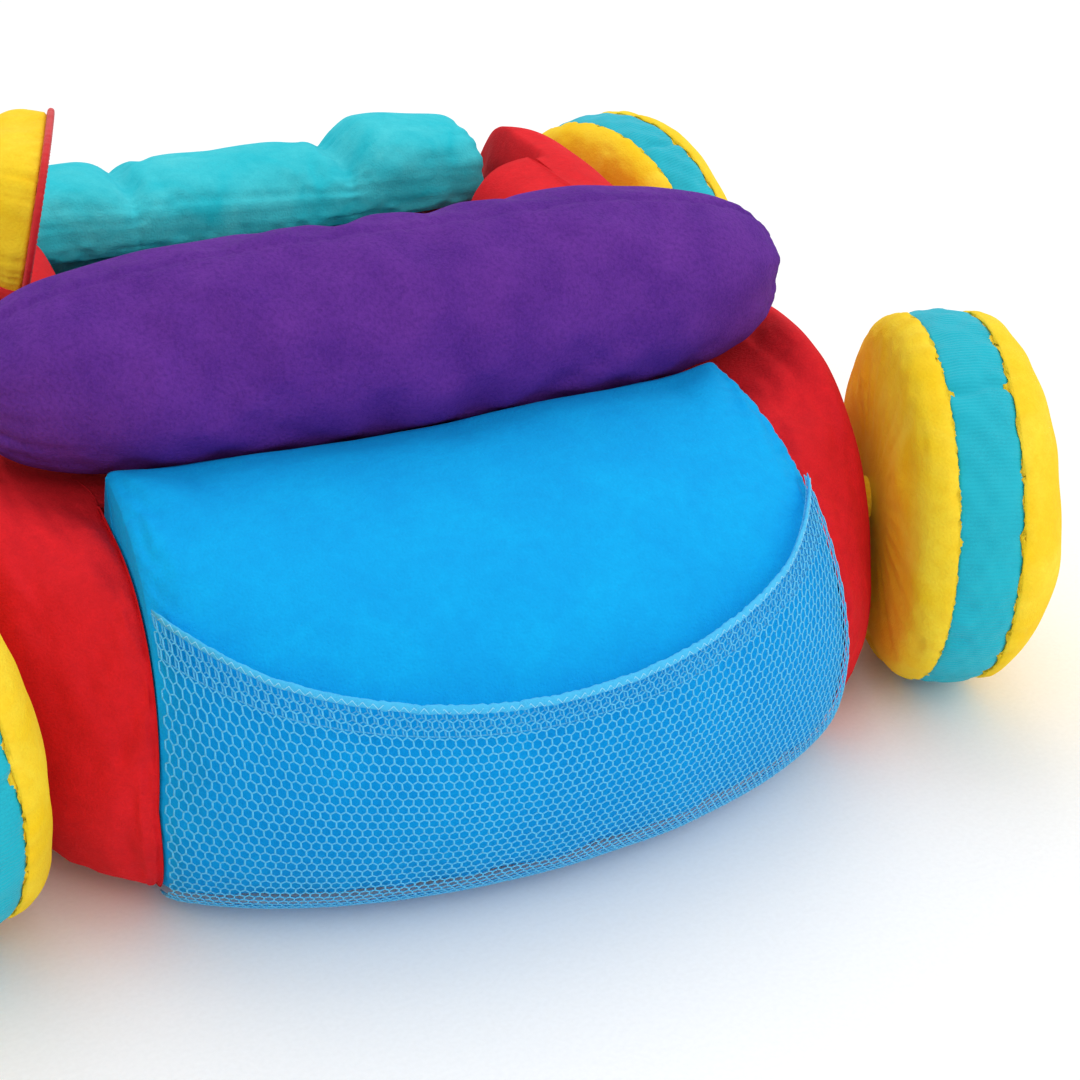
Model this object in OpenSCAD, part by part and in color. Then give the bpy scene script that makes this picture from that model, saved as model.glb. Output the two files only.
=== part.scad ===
// Plush floor seat for a baby, shaped like a small car.
// X points to the car's right, Y to its front and Z up. The origin is on the floor, at the middle.

/* [Body] */
// Length of the body's outline, from the boot's rear to the side cushions' front
body_length = 792; // [640:2:940]
// Width of the body over its side cushions
body_width = 610; // [510:2:730]
// Height of the side cushions at the shoulders
shoulder_height = 254; // [210:1:300]
// Height at which the body is widest
belly_height = 85; // [60:1:110]
// Height of the boot cushion at its middle
boot_height = 217; // [180:1:240]
// How much higher the boot stands at its side seams
boot_lift = 6; // [0:0.5:9]
// Distance from the rear of the body to the back of the seat
boot_depth = 222; // [190:1:260]
// Distance from the front of the body to the end of the leg space
bonnet_depth = 96; // [75:1:125]
// Height of the bonnet cushion
bonnet_height = 190; // [155:1:191]
// How far the bonnet's nose reaches past the body's outline
bonnet_nose = 10; // [0:1:20]
// Width of each side cushion at the seat
side_width = 155; // [125:1:180]
// Distance from the widest part of the body in to the seam between side cushion and boot
seam_inset = 91; // [73:0.5:109]
// How far the rear corner seams lean towards the middle at the top
seam_lean = 17; // [0:1:30]
// Thickness of a cushion's cloth and its padding
cover_wall = 3; // [1.5:0.5:5]
// Thickness of the sheet under the body
bottom_sheet = 3; // [1.5:0.5:5]

/* [Seat] */
// Height of the seat pad
seat_height = 50; // [35:1:65]
// Thickness of the pad behind the child's back
seat_back_depth = 94; // [78:1:113]
// Height of the pad behind the child's back
seat_back_height = 194; // [155:1:225]

/* [Backrest roll] */
// How far the roll reaches past the ridges of the side cushions
roll_overhang = 38; // [0:1:60]
// Radius of the roll at its middle
roll_radius = 67; // [54:1:80]
// Distance from the back of the seat back pad to the roll's centre line
roll_setback = 39; // [32:1:50]
// How far the roll's ends curve forward
roll_bow = 14; // [0:1:20]
// How far the roll hangs down at its ends
roll_droop = 7; // [0:0.5:12]

/* [Dash] */
// How far the dash bolster reaches past the ridges of the side cushions
dash_overhang = -23; // [-45:1:0]
// Depth of the dash bolster, front to back
dash_depth = 120; // [95:1:130]
// Height of the bolster's middle segment
dash_rise = 60; // [48:1:72]
// How much higher its end segments stand
dash_hump = 15; // [0:1:24]
// Length of the bolster's middle segment
dash_middle = 170; // [130:2:210]
// Depth of the seams between the segments
dash_pinch = 2.5; // [0:0.5:12]
// Thickness of the padded shelf under the bolster
shelf_depth = 48; // [38:1:58]
// Height of the leg space under the shelf
leg_height = 93; // [75:1:105]

/* [Wheels] */
// Diameter of a wheel
wheel_diameter = 246; // [197:1:295]
// Width of a wheel at its middle
wheel_width = 136; // [112:1:163]
// Width of the ribbed tread band
tread_width = 41; // [33:1:49]
// Angle by which each wheel's axle points away from the body's cross line
wheel_splay = 19; // [10:1:26]
// How far a wheel's inner side is pressed flat against the body
wheel_press_left = 8; // [4:1:18]
// The same for the right wheels
wheel_press_right = 21; // [4:1:24]
// Distance from the body's end to where a wheel is sewn on
wheel_setback = 167; // [134:1:200]
// Diameter of the sewn patch that joins a wheel to the body
patch_diameter = 76; // [60:1:90]

/* [Pocket] */
// Height of the pocket's top edge at its middle
pocket_height = 143; // [115:1:158]
// How much higher its top edge is at the side seams
pocket_lift = 42; // [10:1:48]
// How far the pocket's mouth stands off the boot
pocket_mouth = 12; // [8:0.5:16]
// Thickness of the net
net_thickness = 1.5; // [1:0.1:2.5]
// Gaps of the net across the pocket
net_columns = 14; // [8:1:16]
// Gaps of the net up the pocket
net_rows = 7; // [4:1:8]
// Diameter of the hem along the pocket's top edge
hem_diameter = 5; // [3:0.5:8]

/* [Side mirror] */
// Height of the mirror's face
mirror_height = 104; // [84:1:124]
// Width of the mirror's face
mirror_width = 136; // [110:1:150]
// Depth of the mirror, from its face to its stuffed back
mirror_depth = 54; // [42:1:60]
// Height of the tab below the mirror
mirror_tab_height = 15; // [12.5:0.5:18]
// Lean of the mirror towards the seat
mirror_lean = 15; // [5:1:18]
// How far the mirror is turned towards the rear
mirror_turn = 13; // [0:1:18]
// Distance from the body's middle to the mirror's middle, along the body
mirror_y = 22; // [18:1:60]
// Thickness of the mirror film and its stiffener
mirror_film = 1.5; // [1:0.1:3]
// Width of the red binding round the mirror's face
mirror_binding = 7; // [5:0.5:10]

/* [Hidden] */
CORNERS = ["rear_right", "rear_left", "front_right", "front_left"];
WHEEL_PIECES = ["inner_panel", "tread_band", "outer_panel", "filling", "patch"];

// Room between two soft pieces, and between a cover and its filling
clearance = 0.3;
lining_gap = 0.4;
shoulder_lining_gap = 2;
end_lining_gap = 1.1;
// Roundness of the outlines: 2 is an ellipse and a larger power is squarer
plan_across = 2;
plan_along = 4;
crown_power = 2.3;
belly_power = 2.5;
side_power = 2.4;
cockpit_power = 4;

half_length = body_length / 2;
half_width = body_width / 2;
floor_z = bottom_sheet + clearance;
seam_x = half_width - seam_inset;
cockpit_x = half_width - side_width;
ridge_x = half_width - side_width / 2;
roll_length = 2 * (ridge_x + roll_overhang);
dash_length = 2 * (ridge_x + dash_overhang);
seat_back_rear_y = boot_depth - half_length;
seat_back_front_y = seat_back_rear_y + seat_back_depth;
bonnet_rear_y = half_length - bonnet_depth;
shelf_bottom_z = seat_height + leg_height;
shelf_top_z = shelf_bottom_z + shelf_depth;
dash_floor_z = max(shelf_top_z, bonnet_height) + clearance;
dash_y = bonnet_rear_y - dash_depth / 3;
roll_y = seat_back_rear_y + roll_setback;
roll_z = seat_back_height + clearance + roll_radius;

// Radii of the body's rear, front and lower edges
rear_round = 125;
front_round = 80;
lower_round = 60;
crisp_round = 5;

// The rear corner seams lean behind this place, over this distance
lean_depth = [100, 60];

function smooth(t) = let(s = min(max(t, 0), 1)) s * s * (3 - 2 * s);
function arc_cos(angle, power) = pow(max(cos(angle), 0), 2 / power);
function arc_sin(angle, power) = sign(angle) * pow(abs(sin(angle)), 2 / power);
function dome(share, power, roundness) = pow(max(1 - pow(min(abs(share), 1), power), 0), 1 / roundness);
function plan_y(x, inset) =
    (half_length - inset) * dome(x / (half_width - inset), plan_across, plan_along);
function plan_x(y) = half_width * dome(y / half_length, plan_along, plan_across);

// Share of the seam's lean at a place across: full at the seam, none at the seat and at the flank
function lean_share(x) =
    abs(x) < seam_x
        ? max((abs(x) - cockpit_x) / (seam_x - cockpit_x), 0)
        : 1 - smooth((abs(x) - seam_x) / (half_width - seam_x));
function lean_back(y) = smooth((-y - lean_depth[0]) / lean_depth[1]);
function leaned(point) =
    let (high = max(point[2] - belly_height, 0) / (boot_height - belly_height))
    let (amount = seam_lean * high * lean_back(point[1]) * lean_share(point[0]))
    [point[0] - sign(point[0]) * amount, point[1], point[2]];
function leaned_ring(ring) = [for (point = ring) leaned(point)];

function average(ring) = [for (axis = [0:2]) column_sum(ring, axis) / len(ring)];
function column_sum(ring, axis) = [for (point = ring) point[axis]] * [for (point = ring) 1];

// A closed skin over rings that all have the same number of points
module skin(rings) {
    sides = len(rings[0]);
    last = len(rings) - 1;
    hub = sides * (last + 1);
    points = concat(
        [for (ring = rings) each ring],
        [average(rings[0]), average(rings[last])]
    );
    walls = [
        for (row = [0:last - 1], side = [0:sides - 1])
        let (next = (side + 1) % sides)
        let (a = row * sides + side, b = row * sides + next)
        each [[a, a + sides, b + sides], [a, b + sides, b]]
    ];
    ends = [
        for (side = [0:sides - 1])
        let (next = (side + 1) % sides)
        each [[hub, side, next], [hub + 1, last * sides + next, last * sides + side]]
    ];
    polyhedron(points, concat(walls, ends), convexity = 6);
}

// A cover is the outer skin less the space for its filling
module hollow_cover() {
    difference() {
        children(0);
        children(1);
    }
}

// ---------- backrest roll ----------
roll_straight = 0.2;
function roll_share(x) = (abs(x) / (roll_length / 2) - roll_straight) / (1 - roll_straight);
function roll_radius_at(x) = roll_radius * dome(max(roll_share(x), 0), 3.4, 2.8);
function roll_z_at(x) = roll_z - roll_droop * pow(abs(x) / (roll_length / 2), 2);
function roll_y_at(x) = roll_y + roll_bow * pow(abs(x) / (roll_length / 2), 2);

// Height of the roll's lower side at a place under it; well above everything elsewhere
function roll_underside_z(x, y) =
    let (radius = roll_radius_at(x), across = y - roll_y_at(x))
    abs(across) < radius ? roll_z_at(x) - sqrt(pow(radius, 2) - pow(across, 2)) : roll_z + roll_radius;

function roll_ring(share, inset, sides) =
    let (reach = roll_length / 2 - 1)
    let (radius = roll_radius_at(share * reach) * (1 - inset / roll_radius), y = roll_y_at(share * reach))
    [for (side = [0:sides - 1])
        let (angle = 360 * side / sides)
        [share * (reach - inset), y + radius * cos(angle), roll_z_at(share * reach) + radius * sin(angle)]];

module roll_skin(inset, rings, sides) {
    skin([for (row = [0:rings]) roll_ring(-cos(180 * row / rings), inset, sides)]);
}

module backrest_roll_cover() {
    color("#5C2D91") hollow_cover() {
        roll_skin(0, 18, 20);
        roll_skin(cover_wall, 10, 12);
    }
}

module backrest_roll_filling() {
    color("white") roll_skin(cover_wall + lining_gap, 10, 12);
}

// ---------- side cushions ----------
// The shoulder is low where the roll and the dash bolster lie on it
dip_room = 1.6;
roll_room = 0.8;
roll_slope = 1.7;
seam_room = 0.35;
roll_dip_front_y = roll_y + roll_radius + 2;
roll_dip_ramp = 53;
dash_dip_rear_y = dash_y - dash_depth / 2 - 10;
dash_dip_ramp = 30;
function roll_dip(x, y) =
    (1 - smooth((abs(x) - roll_length / 2 + 16) / 26)) * (1 - smooth((y - roll_dip_front_y) / roll_dip_ramp));
function dash_dip(x, y) =
    (1 - smooth((abs(x) - dash_length / 2 - 2.5) / 17)) * smooth((y - dash_dip_rear_y + dash_dip_ramp) / dash_dip_ramp);
function roll_dip_z(x) =
    let (place = min(abs(x), roll_length / 2 - 22))
    roll_z_at(place) - roll_radius_at(place) - dip_room;

function side_crown_z(x, inset) =
    let (height = shoulder_height - inset - belly_height)
    let (outward = abs(x) - ridge_x)
    let (share = outward / (side_width / 2 - inset))
    belly_height + height * (outward > 0 ? dome(share, side_power, side_power) : dome(share, cockpit_power, cockpit_power));

function shoulder_z(x, y, inset) =
    let (crown = side_crown_z(x, inset))
    let (roll_x = abs(x) - seam_lean * lean_share(x) * lean_back(y))
    let (roll_low = min(crown, roll_dip_z(roll_x) - inset), dash_low = min(crown, dash_floor_z - dip_room - inset))
    let (across = abs(x) - inset)
    let (low = crown - (crown - roll_low) * roll_dip(across, y - inset))
    low - max(low - dash_low, 0) * dash_dip(across, y + inset);

function side_foot_z(x, inset) =
    let (drop = belly_height - floor_z - inset)
    let (start = ridge_x + 15)
    belly_height - drop * dome(max(x - start, 0) / (half_width - inset - start), side_power, side_power);

// Share of its full height, or drop, that the corner leaves at a place along the seam
function corner_share(y, inset, round, power) =
    let (end = plan_y(seam_x + clearance + inset, inset))
    dome(max(abs(y) - end + round, 0) / round, power, power);

// One loop of the side cushion in a plane across X; the outer part wraps round the corners
function side_loop(x, outer, inset, arc_steps, top_shares) =
    let (rear = outer ? -plan_y(x, inset) : seat_back_rear_y + clearance + inset)
    let (front = outer ? plan_y(x, inset) : bonnet_rear_y - clearance - inset)
    let (reach = (front - rear) / 2)
    let (rear_r = outer ? min(rear_round, 0.6 * reach) : crisp_round)
    let (front_r = outer ? min(front_round, 0.6 * reach) : crisp_round)
    let (foot_r = outer ? min(lower_round, 0.6 * reach) : crisp_round)
    let (seam_end = plan_y(seam_x + clearance + inset, inset))
    let (top_rear = outer ? rear + rear_r : rear_round - seam_end)
    let (top_front = outer ? front - front_r : seam_end - front_round)
    let (rise = side_crown_z(x, inset) - belly_height, drop = belly_height - side_foot_z(x, inset))
    let (raw = concat(
        [for (i = [0:arc_steps - 1]) let (a = -90 + 90 * i / arc_steps)
            [rear + foot_r * (1 - arc_cos(a, belly_power)), belly_height + drop * arc_sin(a, belly_power)]],
        [for (i = [0:arc_steps]) let (a = 90 * i / arc_steps)
            [rear + rear_r * (1 - arc_cos(a, crown_power)), belly_height + rise * arc_sin(a, crown_power)]],
        [for (share = top_shares)
            [top_rear + share * (top_front - top_rear), belly_height + rise]],
        [for (i = [0:arc_steps]) let (a = 90 - 90 * i / arc_steps)
            [front - front_r * (1 - arc_cos(a, crown_power)), belly_height + rise * arc_sin(a, crown_power)]],
        [for (i = [1:arc_steps]) let (a = -90 * i / arc_steps)
            [front - foot_r * (1 - arc_cos(a, belly_power)), belly_height + drop * arc_sin(a, belly_power)]]
    ))
    [for (point = raw)
        let (y = point[0], height = point[1] - belly_height, crown = shoulder_z(x, y, inset) - belly_height)
        let (top_limit = outer ? 1 : corner_share(y, inset, y > 0 ? front_round : rear_round, crown_power))
        let (foot_limit = outer ? 1 : corner_share(y, inset, lower_round, belly_power))
        [x, y, belly_height + (height > 0 ? min(height / rise, top_limit) * crown : height * foot_limit)]];

// Rings run from the outer side in to the seat; the shares are places within each part's width
module side_skin(inset, outer_shares, inner_shares, arc_steps, top_shares) {
    inner_start = cockpit_x + inset;
    inner_end = seam_x - clearance + inset;
    outer_start = seam_x + clearance + inset;
    outer_end = half_width - inset;
    skin(concat(
        [for (share = outer_shares)
            leaned_ring(side_loop(outer_start + share * (outer_end - outer_start), true, inset, arc_steps, top_shares))],
        [for (share = inner_shares)
            leaned_ring(side_loop(inner_start + share * (inner_end - inner_start), false, inset, arc_steps, top_shares))]
    ));
}

module side_cushion_skin(inset) {
    side_skin(
        inset,
        [0.97, 0.91, 0.82, 0.7, 0.56, 0.42, 0.27, 0.13, 0],
        [1, 0.7, 0.35, 0.14, 0.05, 0.01],
        4,
        [0.12, 0.22, 0.3, 0.36, 0.43, 0.6, 0.72, 0.78, 0.84, 0.92]
    );
}

module side_cover_right() {
    color("#D01C24") hollow_cover() {
        side_cushion_skin(0);
        side_cushion_skin(cover_wall + 2);
    }
}

module side_filling_right() {
    color("white") side_cushion_skin(cover_wall + 2 + shoulder_lining_gap);
}

module side_cover_left() {
    mirror([1, 0, 0]) side_cover_right();
}

module side_filling_left() {
    mirror([1, 0, 0]) side_filling_right();
}

// ---------- boot and bonnet ----------
function boot_top_z(x, inset) =
    boot_height + boot_lift * pow(abs(x) / seam_x, 2) - inset;

// Half of a loop across X: the outer end of the boot or bonnet, from the floor up to the flat wall
function end_loop(x, wall, end, top_z, inset, round_power, arc_steps) =
    let (foot = floor_z + inset, near = wall + inset)
    let (foot_r = min(lower_round, 0.8 * (end - near)), rise = top_z - belly_height)
    concat(
        [[near, foot]],
        [for (i = [0:arc_steps - 1]) let (a = -90 + 90 * i / arc_steps)
            [end - foot_r * (1 - arc_cos(a, belly_power)), belly_height + (belly_height - foot) * arc_sin(a, belly_power)]],
        [for (i = [0:arc_steps]) let (a = 90 * i / arc_steps)
            [near + (end - near) * arc_cos(a, round_power), belly_height + rise * arc_sin(a, round_power)]]
    );

module boot_skin(inset, rings, arc_steps) {
    reach = seam_x - clearance - seam_room - inset;
    skin([for (row = [0:rings])
        let (x = -reach * cos(180 * row / rings))
        [for (point = end_loop(x, -seat_back_rear_y, plan_y(x, inset), boot_top_z(x, inset), inset, crown_power, arc_steps))
            let (spot = leaned([-x, -point[0], point[1]]))
            [spot[0], spot[1], min(spot[2], roll_underside_z(spot[0], spot[1]) - roll_room - roll_slope * inset)]]]);
}

module boot_cover() {
    color("#00AAEB") hollow_cover() {
        boot_skin(0, 14, 8);
        boot_skin(cover_wall, 8, 5);
    }
}

module boot_filling() {
    color("white") boot_skin(cover_wall + end_lining_gap, 8, 5);
}

module bonnet_skin(inset, rings, arc_steps) {
    reach = seam_x - clearance - inset;
    skin([for (row = [0:rings])
        let (x = -reach * cos(180 * row / rings))
        let (end = plan_y(x, inset) + bonnet_nose * (1 - pow(x / seam_x, 2)))
        [for (point = end_loop(x, bonnet_rear_y, end, bonnet_height - inset, inset, crown_power, arc_steps))
            [x, point[0], point[1]]]]);
}

module bonnet_cover() {
    color("#00AAEB") hollow_cover() {
        bonnet_skin(0, 12, 6);
        bonnet_skin(cover_wall, 8, 4);
    }
}

module bonnet_filling() {
    color("white") bonnet_skin(cover_wall + end_lining_gap, 8, 4);
}

// ---------- pads inside the cockpit ----------
// A pad with drawn-in edges; its rings lie across X and its powers set how square it is
module pad_skin(half_x, y_range, z_range, inset, edge_power, rings, sides) {
    half_y = (y_range[1] - y_range[0]) / 2 - inset;
    half_z = (z_range[1] - z_range[0]) / 2 - inset;
    middle_y = (y_range[0] + y_range[1]) / 2;
    middle_z = (z_range[0] + z_range[1]) / 2;
    reach = half_x - inset;
    skin([for (row = [0:rings])
        let (x = -reach * cos(180 * row / rings) * 0.998)
        let (draw = dome(x / reach, 7, 3))
        let (squeeze_y = max(draw, 0.9), squeeze_z = max(draw, 0.4))
        [for (side = [0:sides - 1])
            let (angle = 360 * (side + 0.5) / sides)
            let (c = cos(angle), s = sin(angle))
            let (y = sign(c) * pow(abs(c), 2 / edge_power), z = sign(s) * pow(abs(s), 2 / edge_power))
            [x, middle_y + half_y * squeeze_y * y, middle_z + half_z * squeeze_z * z]]]);
}

pad_half_x = cockpit_x - clearance;
seat_back_y_range = [seat_back_rear_y + clearance, seat_back_front_y];
seat_back_z_range = [floor_z, seat_back_height];
seat_pad_y_range = [seat_back_front_y + clearance, bonnet_rear_y - clearance];
seat_pad_z_range = [floor_z, seat_height];
shelf_y_range = [dash_y - dash_depth / 2, bonnet_rear_y - clearance];
shelf_z_range = [shelf_bottom_z, shelf_top_z];

module seat_back_skin(inset, rings, sides) {
    pad_skin(pad_half_x, seat_back_y_range, seat_back_z_range, inset, 7, rings, sides);
}

module seat_back_cover() {
    color("#D01C24") hollow_cover() {
        seat_back_skin(0, 8, 16);
        seat_back_skin(cover_wall + 1, 6, 12);
    }
}

module seat_back_foam() {
    color("white") seat_back_skin(cover_wall + 1 + lining_gap, 6, 12);
}

module seat_pad_skin(inset, rings, sides) {
    pad_skin(pad_half_x, seat_pad_y_range, seat_pad_z_range, inset, 6, rings, sides);
}

module seat_pad_cover() {
    color("#1FC0D0") hollow_cover() {
        seat_pad_skin(0, 10, 16);
        seat_pad_skin(cover_wall + 1, 6, 12);
    }
}

module seat_pad_foam() {
    color("white") seat_pad_skin(cover_wall + 1 + lining_gap, 6, 12);
}

module shelf_skin(inset, rings, sides) {
    pad_skin(pad_half_x, shelf_y_range, shelf_z_range, inset, 5, rings, sides);
}

module dash_shelf_cover() {
    color("#1FC0D0") hollow_cover() {
        shelf_skin(0, 8, 16);
        shelf_skin(cover_wall + 1, 6, 12);
    }
}

module dash_shelf_foam() {
    color("white") shelf_skin(cover_wall + 1 + lining_gap, 6, 12);
}

module bottom_sheet() {
    margin = 14;
    steps = 48;
    outline = [for (i = [0:steps - 1])
        let (angle = 360 * i / steps, c = cos(angle), s = sin(angle))
        [
            (half_width - lower_round * 0.6 - margin) * sign(c) * pow(abs(c), 2 / plan_across),
            (half_length - lower_round * 0.6 - margin) * sign(s) * pow(abs(s), 2 / plan_along)
        ]];
    color("#3C4650") linear_extrude(bottom_sheet) polygon(outline);
}

// ---------- dash bolster ----------
// The end segments stand higher than the middle one, with a sewn seam between them
function dash_pinch_at(x) =
    let (seam = abs(abs(x) - dash_middle / 2))
    let (end = dome(x / (dash_length / 2), 9, 3))
    (1 - dash_pinch / dash_rise * 2 * exp(-pow(seam / 9, 2))) * (0.35 + 0.65 * end);
function dash_rise_at(x) =
    (dash_rise + dash_hump * smooth((abs(x) - dash_middle / 2) / 30)) * dash_pinch_at(x);
function dash_depth_at(x) = dash_depth * (0.3 + 0.7 * dome(x / (dash_length / 2), 9, 3));

function dash_ring(x, inset, sides) =
    let (rise = dash_rise_at(x) - 2 * inset, depth = dash_depth_at(x) - 2 * inset)
    let (lift = (1 - dome(x / (dash_length / 2), 9, 3)) * 14 + inset)
    [for (side = [0:sides - 1])
        let (angle = 360 * (side + 0.5) / sides, c = cos(angle), s = sin(angle))
        let (power = s > 0 ? 2.2 : 3.4)
        [
            x,
            dash_y + depth / 2 * sign(c) * pow(abs(c), 2 / power),
            dash_floor_z + lift + rise / 2 + rise / 2 * sign(s) * pow(abs(s), 2 / power)
        ]];

// The rings stand closest at the seams, which are at 1, and at the ends, which are at 2
dash_ring_places = [1.984, 1.918, 1.755, 1.542, 1.346, 1.183, 1.069, 1, 0.876, 0.696, 0.309];
dash_lining_places = [1.918, 1.673, 1.379, 1.118, 1, 0.799, 0.387];
function dash_share(place) =
    let (seam = dash_middle / dash_length)
    place < 1 ? place * seam : seam + (place - 1) * (1 - seam);

module dash_skin(inset, places, sides) {
    shares = [for (place = places) dash_share(place)];
    reach = dash_length / 2 - inset;
    xs = concat(
        [for (share = shares) -share * reach],
        [for (i = [len(shares) - 1:-1:0]) shares[i] * reach]
    );
    skin([for (x = xs) dash_ring(x, inset, sides)]);
}

module dash_bolster_cover() {
    color("#1FC0D0") hollow_cover() {
        dash_skin(0, dash_ring_places, 18);
        dash_skin(cover_wall + 1, dash_lining_places, 12);
    }
}

module dash_bolster_filling() {
    color("white") dash_skin(cover_wall + 1 + lining_gap, dash_lining_places, 12);
}

// ---------- wheels ----------
wheel_radius = wheel_diameter / 2;
patch_radius = patch_diameter / 2;
patch_thickness = 4;
wheel_seat_y = half_length - wheel_setback;
wheel_seat_x = plan_x(wheel_seat_y);
function wheel_side_of(corner) = corner == "rear_right" || corner == "front_right" ? 1 : -1;
function wheel_inner(corner) =
    wheel_width / 2 - (wheel_side_of(corner) > 0 ? wheel_press_right : wheel_press_left);
function wheel_x(corner) = wheel_seat_x + (wheel_inner(corner) + clearance) * cos(wheel_splay);
function wheel_y(corner) = wheel_seat_y + (wheel_inner(corner) + clearance) * sin(wheel_splay);

// Half width of the wheel at a distance from its axle: flat at the middle, puffed, then in to the tread
function wheel_side(radius) =
    tread_width / 2 + (wheel_width - tread_width) / 2 * dome(max(radius, patch_radius * 0.6) / wheel_radius, 2.6, 2.2);

function wheel_profile(inset, steps, most = wheel_width) = concat(
    [[0, min(wheel_side(0), most) - inset]],
    [for (i = [1:steps])
        let (radius = (wheel_radius - inset) * sin(90 * i / steps))
        [radius, max(min(wheel_side(radius * wheel_radius / (wheel_radius - inset)), most) - inset, tread_width / 2)]]
);

// Turns about the axle, with the wheel's outer side up
module at_corner(corner) {
    side = wheel_side_of(corner);
    end = corner == "front_right" || corner == "front_left" ? 1 : -1;
    translate([side * wheel_x(corner), end * wheel_y(corner), wheel_radius])
        rotate([0, 0, side > 0 ? end * wheel_splay : 180 - end * wheel_splay])
            rotate([0, 90, 0]) children();
}

module wheel_panel(most, steps = 12) {
    outer = wheel_profile(0, steps, most);
    inner = wheel_profile(cover_wall, steps, most);
    rotate_extrude($fn = 72) polygon(concat(outer, [for (i = [steps:-1:0]) inner[i]]));
}

module wheel_tread_band() {
    half = tread_width / 2 - clearance;
    rotate_extrude($fn = 72)
        translate([wheel_radius - cover_wall, -half]) square([cover_wall, 2 * half]);
}

module wheel_filling(corner, steps = 12) {
    inset = cover_wall + lining_gap;
    upper = wheel_profile(inset, steps);
    lower = wheel_profile(inset, steps, wheel_inner(corner));
    rotate_extrude($fn = 72)
        polygon(concat(upper, [for (i = [steps:-1:0]) [lower[i][0], -lower[i][1]]]));
}

// The sewn patch fills the space between the wheel's flat middle and the curved side cushion
module wheel_patch(corner) {
    seam_reach = 26;
    translate([0, 0, -wheel_inner(corner) - clearance - seam_reach]) cylinder(h = seam_reach, r = patch_radius * 0.6, $fn = 48);
}

module wheel_piece(corner, piece) {
    if (piece == "outer_panel") color("#F7D117") at_corner(corner) wheel_panel(wheel_width);
    if (piece == "inner_panel") color("#F7D117") at_corner(corner) mirror([0, 0, 1]) wheel_panel(wheel_inner(corner));
    if (piece == "tread_band") color("#00A5BA") at_corner(corner) wheel_tread_band();
    if (piece == "filling") color("white") at_corner(corner) wheel_filling(corner);
    if (piece == "patch") color("#E8B800") difference() {
        at_corner(corner) wheel_patch(corner);
        if (wheel_side_of(corner) > 0) side_cushion_skin(-clearance);
        else mirror([1, 0, 0]) side_cushion_skin(-clearance);
    }
}

// ---------- mesh pocket ----------
pocket_half = seam_x - 4;
pocket_foot_z = 16;
pocket_foot_room = 0.95;
pocket_seam_room = 1.6;
// Rows of gaps are lower towards the foot, where the boot curves under
pocket_row_power = 1.15;
pocket_slack = 0.8;
function pocket_top_z(x) = pocket_height + pocket_lift * pow(abs(x) / pocket_half, 2);

// Rear face of the boot, moved out by a distance, at a place across and a height
function boot_rear_y(x, z, off) =
    let (wall = -seat_back_rear_y, end = plan_y(x, 0))
    let (rise = boot_top_z(x, 0) - belly_height + off, drop = belly_height - floor_z + off)
    z > belly_height
        ? -(wall + (end - wall + off) * dome((z - belly_height) / rise, crown_power, crown_power))
        : -(end - lower_round + (lower_round + off) * dome((belly_height - z) / drop, belly_power, belly_power));

// A point of the pocket: across from -1 to 1, up from 0 at the foot to 1 at the hem, off the boot's skin
function pocket_spot(across, up, off) =
    let (x = across * pocket_half)
    let (z = pocket_foot_z + pow(up, pocket_row_power) * (pocket_top_z(x) - pocket_foot_z))
    let (slack = pocket_slack * (1 - pow(2 * up - 1, 2)))
    let (seam = pocket_seam_room * pow(up, 2) * pow(abs(across), 6))
    let (stand = pocket_foot_room + slack + off + seam + pocket_mouth * pow(up, 1.5) * (1 - pow(abs(across), 4)))
    [x, boot_rear_y(x, z, stand), z];

// Brick rows of six-sided gaps: each cell spans two half columns, and every other row is shifted by one
net_opening = 0.84;
net_halves = 2 * net_columns;
net_zigzag = 0.17;
function net_corner(column, row) =
    let (edge = row == 0 || row == net_rows || column == 0 || column == net_halves)
    [column, row + (edge ? 0 : (column + row) % 2 == 0 ? net_zigzag : -net_zigzag)];
function net_cell(column, row) = [
    net_corner(column, row), net_corner(column + 1, row), net_corner(column + 2, row),
    net_corner(column + 2, row + 1), net_corner(column + 1, row + 1), net_corner(column, row + 1)
];
net_cells = [
    for (row = [0:net_rows - 1], column = [row % 2:2:net_halves - 2]) [column, row]
];
function net_place(spot, off) = leaned(pocket_spot(2 * spot[0] / net_halves - 1, spot[1] / net_rows, off));

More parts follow.
